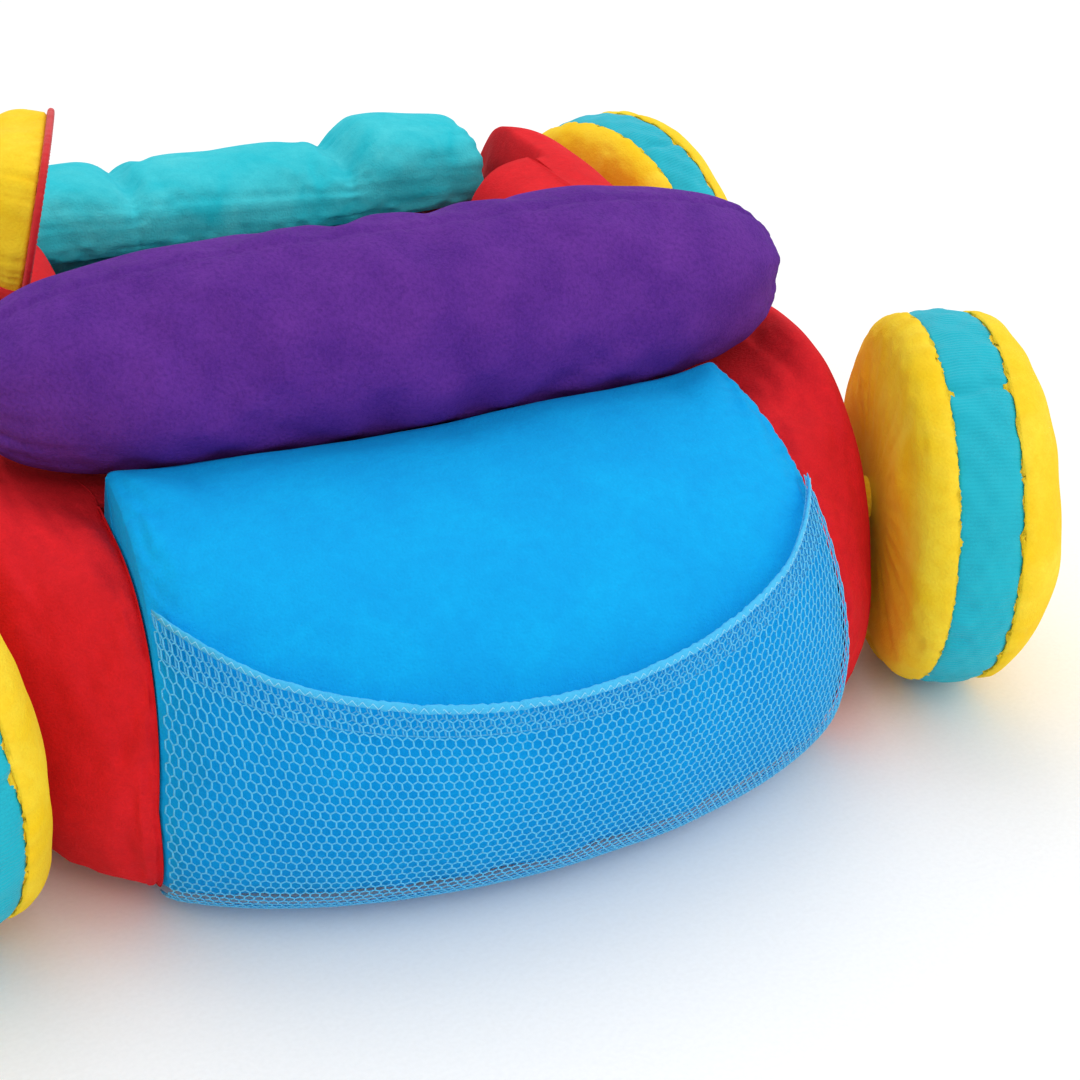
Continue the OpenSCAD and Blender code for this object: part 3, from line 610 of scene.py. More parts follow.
@dataclass(frozen=True)
class BodyPattern:
    """Sizes of the seat's body and the outlines that its cushions are cut to."""

    length: float = 792
    width: float = 610
    shoulder: float = 254
    belly: float = 85
    boot_height: float = 217
    boot_lift: float = 6
    boot_depth: float = 222
    bonnet_depth: float = 96
    bonnet_height: float = 190
    bonnet_nose: float = 10
    side_width: float = 155
    seam_inset: float = 91
    seam_lean: float = 17
    lean_start: float = 100
    lean_run: float = 60
    room: float = 1.6
    ground: float = 3.3
    gap: float = 0.3
    seat_height: float = 50
    seat_back_depth: float = 94
    seat_back_height: float = 194
    roll_overhang: float = 38
    roll_radius: float = 67
    roll_setback: float = 39
    roll_bow: float = 14
    roll_droop: float = 7
    roll_straight: float = 0.2
    roll_power: float = 3.4
    roll_roundness: float = 2.8
    roll_end: float = 22
    dash_overhang: float = -23
    dash_depth: float = 120
    dash_rise: float = 60
    dash_hump: float = 15
    dash_middle: float = 170
    leg_height: float = 93
    shelf_depth: float = 48
    rear_round: float = 125
    front_round: float = 80
    lower_round: float = 60
    plan_across: float = 2.0
    plan_along: float = 4.0
    crown: float = 2.3
    under: float = 2.5
    flank: float = 2.4

    @property
    def seam_x(self) -> float:
        """Distance from the middle to the seams between the side cushions and the boot."""
        return self.width / 2 - self.seam_inset

    @property
    def cockpit_x(self) -> float:
        """Half of the width of the seat well."""
        return self.width / 2 - self.side_width

    @property
    def ridge_x(self) -> float:
        """Distance from the middle to the ridge of a side cushion."""
        return self.width / 2 - self.side_width / 2

    @property
    def wall_y(self) -> float:
        """Place of the flat wall between the boot and the seat back."""
        return self.boot_depth - self.length / 2

    @property
    def bonnet_y(self) -> float:
        """Place of the rear wall of the bonnet."""
        return self.length / 2 - self.bonnet_depth

    @property
    def roll_half(self) -> float:
        """Half of the roll's length."""
        return self.ridge_x + self.roll_overhang

    @property
    def roll_y(self) -> float:
        """Place of the roll's centre line at its middle."""
        return self.wall_y + self.roll_setback

    @property
    def roll_z(self) -> float:
        """Height of the roll's centre line."""
        return self.seat_back_height + self.gap + self.roll_radius

    @property
    def dash_half(self) -> float:
        """Half of the dash bolster's length."""
        return self.ridge_x + self.dash_overhang

    @property
    def dash_y(self) -> float:
        """Place of the dash bolster's middle."""
        return self.bonnet_y - self.dash_depth / 3

    @property
    def dash_z(self) -> float:
        """Height that the dash bolster lies at."""
        return max(self.seat_height + self.leg_height + self.shelf_depth, self.bonnet_height) + self.gap

    def plan_y(self, x: Array, inset: Array) -> Array:
        """Outline from above: the half length times a hill over the half width, less the inset."""
        share = x / (self.width / 2 - inset)
        return (self.length / 2 - inset) * dome(share, self.plan_across, self.plan_along)

    def plan_x(self, y: float) -> float:
        """Half width of the same outline at a place along the body."""
        share = np.array(2 * y / self.length)
        return self.width / 2 * float(dome(share, self.plan_along, self.plan_across))

    def leaned(self, points: Array) -> Array:
        """Points with the rear corner seams leaned inwards, more with the height above the belly.

        The shift is full at the seam and dies to nothing at the seat well and at the flank.
        """
        x, y, z = points[..., 0], points[..., 1], points[..., 2]
        amount = self.lean_at(x, y) * np.maximum(z - self.belly, 0) / (self.boot_height - self.belly)
        return points - np.stack([np.sign(x) * amount, 0 * x, 0 * x], -1)

    def lean_at(self, x: Array, y: Array) -> Array:
        """Most that the lean moves a place of the plan: full at the seam, none at seat and flank."""
        x = np.abs(x)
        inner = np.maximum((x - self.cockpit_x) / (self.seam_x - self.cockpit_x), 0)
        outer = 1 - smooth((x - self.seam_x) / (self.width / 2 - self.seam_x))
        share = np.where(x < self.seam_x, inner, outer)
        return self.seam_lean * share * smooth((-y - self.lean_start) / self.lean_run)

    def seam_at(self, points: Array) -> Array:
        """Distance from the middle to the leaned side seams, at the points' y and z."""
        high = np.maximum(points[..., 2] - self.belly, 0) / (self.boot_height - self.belly)
        behind = smooth((-points[..., 1] - self.lean_start) / self.lean_run)
        return self.seam_x - self.seam_lean * high * behind

    def roll_radius_at(self, x: Array) -> Array:
        """The roll's radius: full at the middle, then a hill over the rest of its length."""
        share = (np.abs(x) / self.roll_half - self.roll_straight) / (1 - self.roll_straight)
        return self.roll_radius * dome(np.maximum(share, 0), self.roll_power, self.roll_roundness)

    def roll_z_at(self, x: Array) -> Array:
        """Height of the roll's line, which droops with the square of x."""
        return self.roll_z - self.roll_droop * (x / self.roll_half) ** 2

    def roll_dip_z(self, x: Array) -> Array:
        """Height of the hollow in the shoulder that the roll lies in."""
        place = np.minimum(np.abs(x), self.roll_half - self.roll_end)
        return self.roll_z_at(place) - self.roll_radius_at(place) - self.room

    def roll_y_at(self, x: Array) -> Array:
        """Place of the roll's line, which bows to the front with the square of x."""
        return self.roll_y + self.roll_bow * (x / self.roll_half) ** 2

    def roll_underside_z(self, x: Array, y: Array) -> Array:
        """Height of the roll's underside over a point, and far above where the roll is not over it."""
        radius, off, far = self.roll_radius_at(x), y - self.roll_y_at(x), 500
        under = self.roll_z_at(x) - np.sqrt(np.maximum(radius**2 - off**2, 0))
        return under + far * (np.abs(off) >= radius)

    def side_crown_z(self, x: Array, inset: Array) -> Array:
        """Height of a side cushion across its width: a rounder hill outside than towards the seat."""
        outward = np.abs(x) - self.ridge_x
        share = outward / (self.side_width / 2 - inset)
        hill = np.where(outward > 0, dome(share, self.flank, self.flank), dome(share, 4, 4))
        return self.belly + (self.shoulder - inset - self.belly) * hill

    def shoulder_z(self, x: Array, y: Array, inset: Array) -> Array:
        """The side cushion's crown, lowered smoothly under the roll and under the dash's ends."""
        crown = self.side_crown_z(x, inset)
        across = np.abs(x) - inset
        before_roll = smooth((y - inset - self.roll_y - self.roll_radius - 2) / 53)
        under_roll = (1 - smooth((across - self.roll_half + 16) / 26)) * (1 - before_roll)
        dip = self.roll_dip_z(np.abs(x) - self.lean_at(x, y)) - inset
        low = crown - (crown - np.minimum(crown, dip)) * under_roll
        start = self.dash_y - self.dash_depth / 2 - 40
        under_dash = 1 - smooth((across - self.dash_half - 2.5) / 17)
        under_dash = under_dash * smooth((y + inset - start) / 30)
        bed = np.minimum(crown, self.dash_z - self.room - inset)
        return low - np.maximum(low - bed, 0) * under_dash

    def boot_top_z(self, x: Array, inset: Array) -> Array:
        """The boot's height, which rises with the square of x to the side seams."""
        return self.boot_height + self.boot_lift * (np.abs(x) / self.seam_x) ** 2 - inset

    def boot_rear_y(self, x: Array, z: Array, off: Array) -> Array:
        """Rear face of the boot, moved out by a distance, at a place across and a height."""
        end = self.plan_y(x, 0)
        rise, drop = self.boot_top_z(x, 0) - self.belly + off, self.belly - self.ground + off
        hill = dome((z - self.belly) / rise, self.crown, self.crown)
        upper = -self.wall_y + (end + self.wall_y + off) * hill
        foot = dome((self.belly - z) / drop, self.under, self.under)
        lower = end - self.lower_round + (self.lower_round + off) * foot
        return -np.where(z > self.belly, upper, lower)


BODY = BodyPattern()


# ---------------------------------------------------------------- cushions


class Cushion:
    """A stuffed piece: a closed skin, swollen by a cloth run, with its seams drawn in afterwards."""

    name: str
    nodes: tuple[str, ...]
    slot: str
    finish: Finish
    body: str = "seat_body"
    fill: float = 0.75
    swell: float = 4.0
    coarse: tuple[int, int] = (34, 44)
    fine: tuple[int, int] = (150, 170)

    def skin(self, along: Array, around: Array, inset: float) -> Array:
        """The cushion's cut shape, drawn in by an inset, over two parameters from 0 to 1."""
        raise NotImplementedError

    def held(self, points: Array) -> Array:
        """How firmly seams and neighbours hold each point, from 0, free, to 1, fixed."""
        raise NotImplementedError

    def sewn(self, points: Array, out: Array) -> Array:
        """The fine grid with its seams, puckers and lumps; out is its outward direction."""
        raise NotImplementedError

    def grid(self, counts: tuple[int, int]) -> Array:
        """The drawn-in skin at equal steps of both parameters."""
        along, around = np.linspace(0, 1, counts[0]), np.arange(counts[1]) / counts[1]
        return self.skin(along[:, None], around[None, :], self.swell)

    def shares(self, points: Array) -> Array:
        """Rows of a grid as places from 0 to 1."""
        return np.linspace(0, 1, points.shape[0])[:, None] + 0 * points[..., 0]

    def filled(self, moves: Array) -> Array:
        """The fine grid after stuffing: the drawn-in skin and the cloth run's moves, eased."""
        rows, columns = np.linspace(0, 1, self.fine[0]), np.arange(self.fine[1]) / self.fine[1]
        swollen = self.grid(self.fine) + eased(stretched(moves, rows, columns), 4)
        return self.sewn(swollen, facing(swollen))

    def build(self, moves: Array) -> list[Piece]:
        return [self.stuffed(closed_mesh(self.name, self.filled(moves)), *self.nodes)]

    def stuffed(self, piece: Piece, *nodes: str) -> Piece:
        """Dresses a piece of the cushion, attaches it to its body and hides the nodes that it replaces."""
        declared(piece, self.finish, self.body, self.slot, *nodes)
        return piece


@dataclass
class StuffingRun:
    """One cloth run for every cushion at once.

    Each drawn-in skin is inflated from inside without gravity, with its seams held, and a point may
    move no further than the cushion was drawn in, so the stuffed piece keeps its cut size.
    """

    frames: int = 20
    pressure: float = 4.0
    surplus: float = 0.03

    def moves(self, cushions: list[Cushion]) -> dict[str, Array]:
        """Runs the cloth.

        Args:
            cushions: The cushions to fill.

        Returns:
            For each cushion's name, the moves of its coarse grid.
        """
        rests = {cushion.name: cushion.grid(cushion.coarse) for cushion in cushions}
        bags = {cushion.name: self.bag(cushion, rests[cushion.name]) for cushion in cushions}
        scene = bpy.context.scene
        for frame in range(1, self.frames + 1):
            scene.frame_set(frame)
        graph = bpy.context.evaluated_depsgraph_get()
        found = {}
        for cushion in cushions:
            rest, bag = rests[cushion.name], bags[cushion.name]
            places = np.empty(len(bag.data.vertices) * 3)
            bag.evaluated_get(graph).data.vertices.foreach_get("co", places)
            moved = places[: rest.size].reshape(rest.shape) / MM - rest
            capped = found[cushion.name] = self.capped(moved, cushion.swell)
            mean = float(np.linalg.norm(capped, axis=-1).mean())
            LOG.info("%s: stuffing moved it %.1f mm on average", cushion.name, mean)
        for bag in bags.values():
            bpy.data.objects.remove(bag)
        scene.frame_set(1)
        return found

    def capped(self, moved: Array, most: float) -> Array:
        """Moves shortened to at most a length, by the hyperbolic tangent of their length over it."""
        long = np.maximum(np.linalg.norm(moved, axis=-1, keepdims=True), 1e-6)
        return moved / long * most * np.tanh(long / most)

    def bag(self, cushion: Cushion, rest: Array) -> Piece:
        """The coarse closed skin with its held points and its cloth."""
        made = closed_mesh(cushion.name + "_bag", rest)
        group = made.vertex_groups.new(name="held")
        weights = np.concatenate([cushion.held(rest).ravel(), [1.0, 1.0]])
        for level in range(11):
            chosen = np.flatnonzero(np.round(weights * 10) == level)
            group.add(chosen.tolist(), level / 10, "REPLACE")
        cloth = made.modifiers.new("stuffing", "CLOTH")
        settings, bumping, cache = cloth.settings, cloth.collision_settings, cloth.point_cache
        settings.vertex_group_mass = "held"
        settings.pin_stiffness = 2
        settings.quality = 4
        settings.use_pressure = True
        settings.uniform_pressure_force = self.pressure
        settings.shrink_min = -self.surplus
        settings.effector_weights.gravity = 0
        settings.bending_stiffness = 0.3
        bumping.use_collision = bumping.use_self_collision = False
        cache.frame_start, cache.frame_end = 1, self.frames
        return made


def arc(start: float, end: float, share: Array) -> Array:
    """Angle in radians between two angles in degrees, at a share of the way."""
    return np.radians(start + (end - start) * np.clip(share, 0, 1))


def seam_shape(distance: Array, place: Array, seed: int) -> tuple[Array, Array]:
    """Depth of a corner seam, and its puckers' height, at a distance from it.

    The depth is two dying curves, 3 mm over 3 mm and 1.6 mm over 22 mm. The puckers are two
    ripples of the place along the seam, which die over 13 mm.
    """
    tuck = 3 * fade(distance, 3) + 1.6 * fade(distance, 22)
    waves = 0.9 * ripple(place, 19, seed) + 0.5 * ripple(place, 9, seed + 1)
    return tuck, fade(distance, 13) * waves


def shallow(points: Array, seed: int) -> Array:
    """The shallow, broad lumps of the boot, the bonnet and the side cushions."""
    return uneven(points, seed + 2, (0.9, 120), (0.25, 45))


@dataclass
class EndCushion(Cushion):
    """The boot or the bonnet: a crowned block between the side seams, flat against the seat well."""

    name: str
    nodes: tuple[str, ...]
    finish: Finish
    rear: bool
    slot: str = "velour_blue"
    seed: int = 3

    def skin(self, along: Array, around: Array, inset: float) -> Array:
        """Loops in planes across X, of a floor, a lower arc, a crown arc and a flat wall."""
        reach = BODY.seam_x - BODY.gap - 0.1
        x = -reach * np.cos(np.pi * along) + 0 * around
        if self.rear:
            wall, top, end = -BODY.wall_y, BODY.boot_top_z(x, inset), BODY.plan_y(x, inset)
        else:
            wall, top = BODY.bonnet_y, BODY.bonnet_height - inset
            end = BODY.plan_y(x, inset) + BODY.bonnet_nose * (1 - (x / BODY.seam_x) ** 2)
        foot, near = BODY.ground + inset, wall + inset
        foot_r = np.minimum(BODY.lower_round, 0.8 * (end - near))
        t = around + 0 * x
        low, high = arc(-90, 0, (t - 0.1) / 0.17), arc(0, 90, (t - 0.27) / 0.51)
        y = np.select(
            [t < 0.1, t < 0.27, t < 0.78],
            [
                near + (end - foot_r - near) * t / 0.1,
                end - foot_r * (1 - soft_cos(low, BODY.under)),
                near + (end - near) * soft_cos(high, BODY.crown),
            ],
            near + 0 * t,
        )
        z = np.select(
            [t < 0.1, t < 0.27, t < 0.78],
            [
                foot + 0 * t,
                BODY.belly + (BODY.belly - foot) * soft_sin(low, BODY.under),
                BODY.belly + (top - BODY.belly) * soft_sin(high, BODY.crown),
            ],
            foot + (top - foot) * (1 - t) / 0.22,
        )
        return BODY.leaned(np.stack([x, -y if self.rear else y, z], -1))

    def held(self, points: Array) -> Array:
        """Firm at the side seams, at the wall, on the floor and under the roll."""
        x, y, z = np.abs(points[..., 0]), np.abs(points[..., 1]), points[..., 2]
        wall = -BODY.wall_y if self.rear else BODY.bonnet_y
        seam = bell(BODY.seam_at(points) - x, 9)
        flat = 1 - smooth((y - wall - self.swell - 1) / 12)
        if self.rear:
            flat = flat * (1 - smooth((z - 170) / 25))
        floor = 1 - smooth((z - BODY.ground - self.swell - 1) / 14)
        return np.clip(np.max([seam, flat, floor], axis=0), 0, 1)

    def sewn(self, points: Array, out: Array) -> Array:
        """Draws the side seams in, puckers them and lets the stuffing show as shallow lumps."""
        distance = BODY.seam_at(points) - np.abs(points[..., 0])
        apart = 400 * (points[..., 0] > 0)
        place = points[..., 2] + points[..., 1] * (1 if self.rear else -1) + apart
        tuck, pucker = seam_shape(distance, place, self.seed)
        free = 1 - self.held(points)
        move = shallow(points, self.seed) * free - tuck
        move = move + np.minimum(pucker, 0.4) * smooth((points[..., 2] - 8) / 20)
        shift = out * move[..., None]
        shift[..., 0] *= smooth(distance / 14)
        sewn = points + shift
        if self.rear:
            under = BODY.roll_underside_z(sewn[..., 0], sewn[..., 1]) - BODY.gap
            sewn[..., 2] = np.minimum(sewn[..., 2], under)
        return sewn


@dataclass
class SideCushion(Cushion):
    """One side: a bolster beside the seat that wraps round both corners of the body."""

    side: int
    finish: Finish = RED
    slot: str = "velour_red"
    coarse: tuple[int, int] = (44, 60)
    fine: tuple[int, int] = (190, 260)

    def __post_init__(self) -> None:
        """Names the cushion by its side."""
        word = "right" if self.side > 0 else "left"
        self.name = f"side_cushion_{word}"
        self.nodes = (f"side_cover_{word}", f"side_filling_{word}")
        self.seed = 20 + self.side

    def loop(self, x: Array, t: Array, outer: bool, inset: float) -> tuple[Array, Array]:
        """Y and Z of a loop across X: a lower and an upper arc at each end and a straight top between.

        The outer part follows the body's outline. The inner one lies between the flat walls and
        is lowered near its ends as far as the corner is there.
        """
        if outer:
            front = BODY.plan_y(x, inset)
            rear = -front
            reach = 0.6 * front
            rounds = (BODY.rear_round, BODY.front_round, BODY.lower_round)
            rear_r, front_r, foot_r = (np.minimum(size, reach) for size in rounds)
        else:
            front = BODY.bonnet_y - BODY.gap - inset + 0 * x
            rear = BODY.wall_y + BODY.gap + inset + 0 * x
            rear_r = front_r = foot_r = 5.0
        rise = BODY.side_crown_z(x, inset) - BODY.belly
        start = BODY.ridge_x + 15
        past = np.maximum(np.abs(x) - start, 0) / (BODY.width / 2 - inset - start)
        drop = (BODY.belly - BODY.ground - inset) * dome(past, BODY.flank, BODY.flank)
        a, b = arc(-90, 0, t / 0.1), arc(0, 90, (t - 0.1) / 0.19)
        c, d = arc(90, 0, (t - 0.55) / 0.16), arc(0, -90, (t - 0.71) / 0.09)
        parts = [t < 0.1, t < 0.29, t < 0.55, t < 0.71, t < 0.8]
        y = np.select(
            parts,
            [
                rear + foot_r * (1 - soft_cos(a, BODY.under)),
                rear + rear_r * (1 - soft_cos(b, BODY.crown)),
                rear + rear_r + (front - front_r - rear - rear_r) * (t - 0.29) / 0.26,
                front - front_r * (1 - soft_cos(c, BODY.crown)),
                front - foot_r * (1 - soft_cos(d, BODY.under)),
            ],
            front - foot_r + (rear + foot_r - front + foot_r) * (t - 0.8) / 0.2,
        )
        height = np.select(
            parts,
            [
                drop * soft_sin(a, BODY.under),
                rise * soft_sin(b, BODY.crown),
                rise + 0 * t,
                rise * soft_sin(c, BODY.crown),
                drop * soft_sin(d, BODY.under),
            ],
            -drop + 0 * t,
        )
        crown = BODY.shoulder_z(x, y, inset) - BODY.belly
        share = height / rise
        if not outer:
            end = BODY.plan_y(np.array(BODY.seam_x + BODY.gap + inset), inset)
            corner, low = np.where(y > 0, BODY.front_round, BODY.rear_round), BODY.lower_round
            over = np.maximum(np.abs(y) - end + corner, 0) / corner
            share = np.minimum(share, dome(over, BODY.crown, BODY.crown))
            foot = dome(np.maximum(np.abs(y) - end + low, 0) / low, BODY.under, BODY.under)
            height = np.where(height > 0, height, height * foot)
        return y, BODY.belly + np.where(height > 0, share * crown, height)

    def skin(self, along: Array, around: Array, inset: float) -> Array:
        """Loops from the outer side in to the seam plane, across its flat faces, and on to the seat."""
        near = BODY.seam_x + BODY.gap + 0.1
        wide = 0.5 + 0.5 * np.cos(np.pi * np.clip(along / 0.5, 0, 1))
        outer_x = near + (BODY.width / 2 - inset - near) * 0.985 * wide + 0 * around
        step = np.clip((along - 0.62) / 0.38, 0, 1)
        inner_end, inner_start = BODY.seam_x - BODY.gap - 0.1, BODY.cockpit_x + inset
        reach = (inner_end - inner_start) * (0.01 + 0.99 * np.cos(np.pi / 2 * step))
        inner_x = inner_start + reach + 0 * around
        t = around + 0 * along
        outer = np.stack([outer_x, *self.loop(outer_x, t, True, inset)], -1)
        inner = np.stack([inner_x, *self.loop(inner_x, t, False, inset)], -1)
        turn = smooth((along - 0.5) / 0.12)[..., None]
        return BODY.leaned((outer + (inner - outer) * turn) * np.array([self.side, 1, 1]))

    def corner(self, points: Array) -> Array:
        """How near a point is to a corner seam: 1 at the seam plane past the flat walls."""
        y = points[..., 1]
        return np.maximum(smooth((BODY.wall_y + 8 - y) / 10), smooth((y - BODY.bonnet_y + 8) / 10))

    def held(self, points: Array) -> Array:
        """Firm at the corner seams, on the seam plane's flat faces, at the pads and on the floor."""
        x, y, z = np.abs(points[..., 0]), points[..., 1], points[..., 2]
        seam = bell(x - BODY.seam_at(points), 9) * self.corner(points)
        off = np.minimum(np.abs(y - BODY.wall_y), np.abs(y - BODY.bonnet_y))
        walls = (1 - smooth((off - self.swell - 2) / 12)) * (x < BODY.seam_at(points))
        floor = 1 - smooth((z - BODY.ground - self.swell - 1) / 14)
        pads = (1 - smooth((x - BODY.cockpit_x - self.swell - 2) / 10)) * (z < 200)
        hollow = (1 - smooth((y - BODY.roll_y - 66) / 30)) * (y > BODY.wall_y)
        hollow = hollow * (x < BODY.roll_half - 6) * (z > 150)
        return np.clip(np.max([seam, walls, floor, pads, hollow], axis=0), 0, 1)

    def sewn(self, points: Array, out: Array) -> Array:
        """Draws the corner seams in, puckers them, and gives the shoulder soft folds and lumps."""
        distance = np.abs(np.abs(points[..., 0]) - BODY.seam_at(points))
        corner = self.corner(points)
        place = points[..., 2] - np.abs(points[..., 1]) + 500 * (points[..., 1] > 0)
        tuck, pucker = seam_shape(distance, place, self.seed)
        even = shallow(points, self.seed) * (1 - self.held(points))
        shift = out * (even - tuck * corner + np.minimum(pucker * corner, 0.4))[..., None]
        shift[..., 0] *= np.where(corner > 0.5, smooth(distance / 14), 1)
        return points + shift


@dataclass
class BackrestRoll(Cushion):
    """The round roll that lies across the shoulders behind the child."""

    name: str = "backrest_roll"
    nodes: tuple[str, ...] = ("backrest_roll_cover", "backrest_roll_filling")
    finish: Finish = PURPLE
    slot: str = "fleece_purple"
    fill: float = 0.85
    coarse: tuple[int, int] = (40, 32)
    fine: tuple[int, int] = (210, 150)
    seam_turn: float = 99.0

    def skin(self, along: Array, around: Array, inset: float) -> Array:
        """Rings round a bowed line: y and z are the radius times cosine and sine of the turn."""
        x = -(BODY.roll_half - 1 - inset) * np.cos(np.pi * (0.01 + 0.98 * along)) + 0 * around
        reach = (BODY.roll_half - 1) / (BODY.roll_half - 1 - inset)
        turn = 2 * np.pi * around
        free = smooth((np.abs(around * 360 - 270) - 20) / 50)
        radius = BODY.roll_radius_at(x * reach) * (1 - inset * free / BODY.roll_radius)
        y = BODY.roll_y_at(x) + radius * np.cos(turn)
        return np.stack([x, y, BODY.roll_z_at(x) + radius * np.sin(turn)], -1)

    def angle(self, points: Array) -> Array:
        """Turn of each point about the roll's line, in degrees."""
        x, y, z = points[..., 0], points[..., 1], points[..., 2]
        return np.degrees(np.arctan2(z - BODY.roll_z_at(x), y - BODY.roll_y_at(x))) % 360

    def held(self, points: Array) -> Array:
        """Firm along the lengthways seam, at the ends, and underneath where the roll lies."""
        turn = self.angle(points)
        seam = bell(turn - self.seam_turn, 9)
        under = 1 - smooth((np.abs(turn - 270) - 20) / 50)
        ends = smooth((np.abs(points[..., 0]) - BODY.roll_half + 10) / 8)
        return np.clip(np.max([0.95 * seam, under, ends], axis=0), 0, 1)

    def sewn(self, points: Array, out: Array) -> Array:
        """A shallow seam with puckers, gathers from both ends, deepest low at the left, and lumps."""
        turn, x = self.angle(points), points[..., 0]
        off = (turn - self.seam_turn) * np.pi / 180 * BODY.roll_radius
        seam = -1.5 * bell(off, 3) + 0.5 * bell(np.abs(off) - 7, 5)
        waves = 0.8 * ripple(x + 0.3 * off, 16, 41) + 0.4 * ripple(x, 8, 42)
        pucker = bell(off, 16) * np.minimum(waves, 0.35)
        edge = BODY.roll_half - np.abs(x)
        low = np.where(x < 0, 0.15 + 0.85 * bell(turn - 212, 34), 0.15)
        pleats = np.minimum(ring_ripple(np.radians(turn), 15, 45), 0.3)
        gather = 2.4 * low * fade(edge - 8, 26) * pleats
        folds = 0.9 * fade(edge - 30, 50) * ring_ripple(np.radians(turn) + x / 260, 5, 46)
        even = uneven(points, 47, (1.5, 150), (0.5, 60))
        free = 1 - smooth((42 - np.abs(turn - 270)) / 14)
        return points + out * ((seam + pucker + gather + folds + even) * free)[..., None]


@dataclass
class DashBolster(Cushion):
    """The padded dash: a low middle segment between two higher ones, with sewn seams between."""

    name: str = "dash_bolster"
    nodes: tuple[str, ...] = ("dash_bolster_cover", "dash_bolster_filling")
    finish: Finish = AQUA
    slot: str = "velour_aqua"
    coarse: tuple[int, int] = (44, 32)
    fine: tuple[int, int] = (200, 130)
    swell: float = 3.0

    def seam(self, x: Array) -> Array:
        """Distance from the nearer of the two seams."""
        return np.abs(np.abs(x) - BODY.dash_middle / 2)

    def skin(self, along: Array, around: Array, inset: float) -> Array:
        """Rounded rings across the dash, lower at its seams and ends and highest at the right."""
        share = 0.985 * (2 * along - 1) + 0 * around
        x = share * (BODY.dash_half - inset)
        end = dome(x / BODY.dash_half, 9, 3)
        pinch = (1 - 0.09 * bell(self.seam(x), 9)) * (0.35 + 0.65 * end)
        hump = BODY.dash_hump * np.where(x < 0, 0.35, 1.0) * smooth((np.abs(x) - BODY.dash_middle / 2) / 30)
        rise = (BODY.dash_rise + hump) * pinch - 2 * inset
        deep = BODY.dash_depth * (0.3 + 0.7 * end) - 2 * inset
        turn = 2 * np.pi * around
        power = np.where(np.sin(turn) > 0, 2.2, 3.4)
        y = BODY.dash_y + deep / 2 * soft_cos(turn, power)
        z = BODY.dash_z + (1 - end) * 14 + inset + rise / 2 + rise / 2 * soft_sin(turn, power)
        return np.stack([x, y, z], -1)

    def held(self, points: Array) -> Array:
        """Firm at the two seams, at the ends and underneath."""
        seam = 0.6 * bell(self.seam(points[..., 0]), 7)
        ends = smooth((np.abs(points[..., 0]) - BODY.dash_half + 20) / 16)
        under = 1 - smooth((points[..., 2] - BODY.dash_z - self.swell - 3) / 10)
        return np.clip(np.max([seam, ends, under], axis=0), 0, 1)

    def sewn(self, points: Array, out: Array) -> Array:
        """A crease at each seam with puckers, folds near the ends, level folds low down, and lumps."""
        x, y, z = points[..., 0], points[..., 1], points[..., 2]
        distance = self.seam(x)
        crease = -1.2 * fade(distance, 2.2) - 0.6 * fade(distance, 14)
        waves = 0.9 * ripple(y + z, 15, 61) + 0.5 * ripple(y - z, 8, 62)
        pucker = fade(distance, 12) * np.minimum(waves, 0.4)
        edge = BODY.dash_half - np.abs(x)
        folds = 0.9 * fade(edge - 6, 24) * np.minimum(ripple(z + 0.4 * y, 17, 63), 0.4)
        low = (1 - smooth((z - BODY.dash_z - 42) / 14)) * (y < BODY.dash_y)
        level = 0.9 * np.minimum(ripple(z + 0.06 * x, 17, 66), 0.4) * low
        even = uneven(points, 64, (1.1, 90), (0.4, 38))
        free = smooth((z - BODY.dash_z - 5) / 10)
        return points + out * ((crease + pucker + folds + level + even) * free)[..., None]


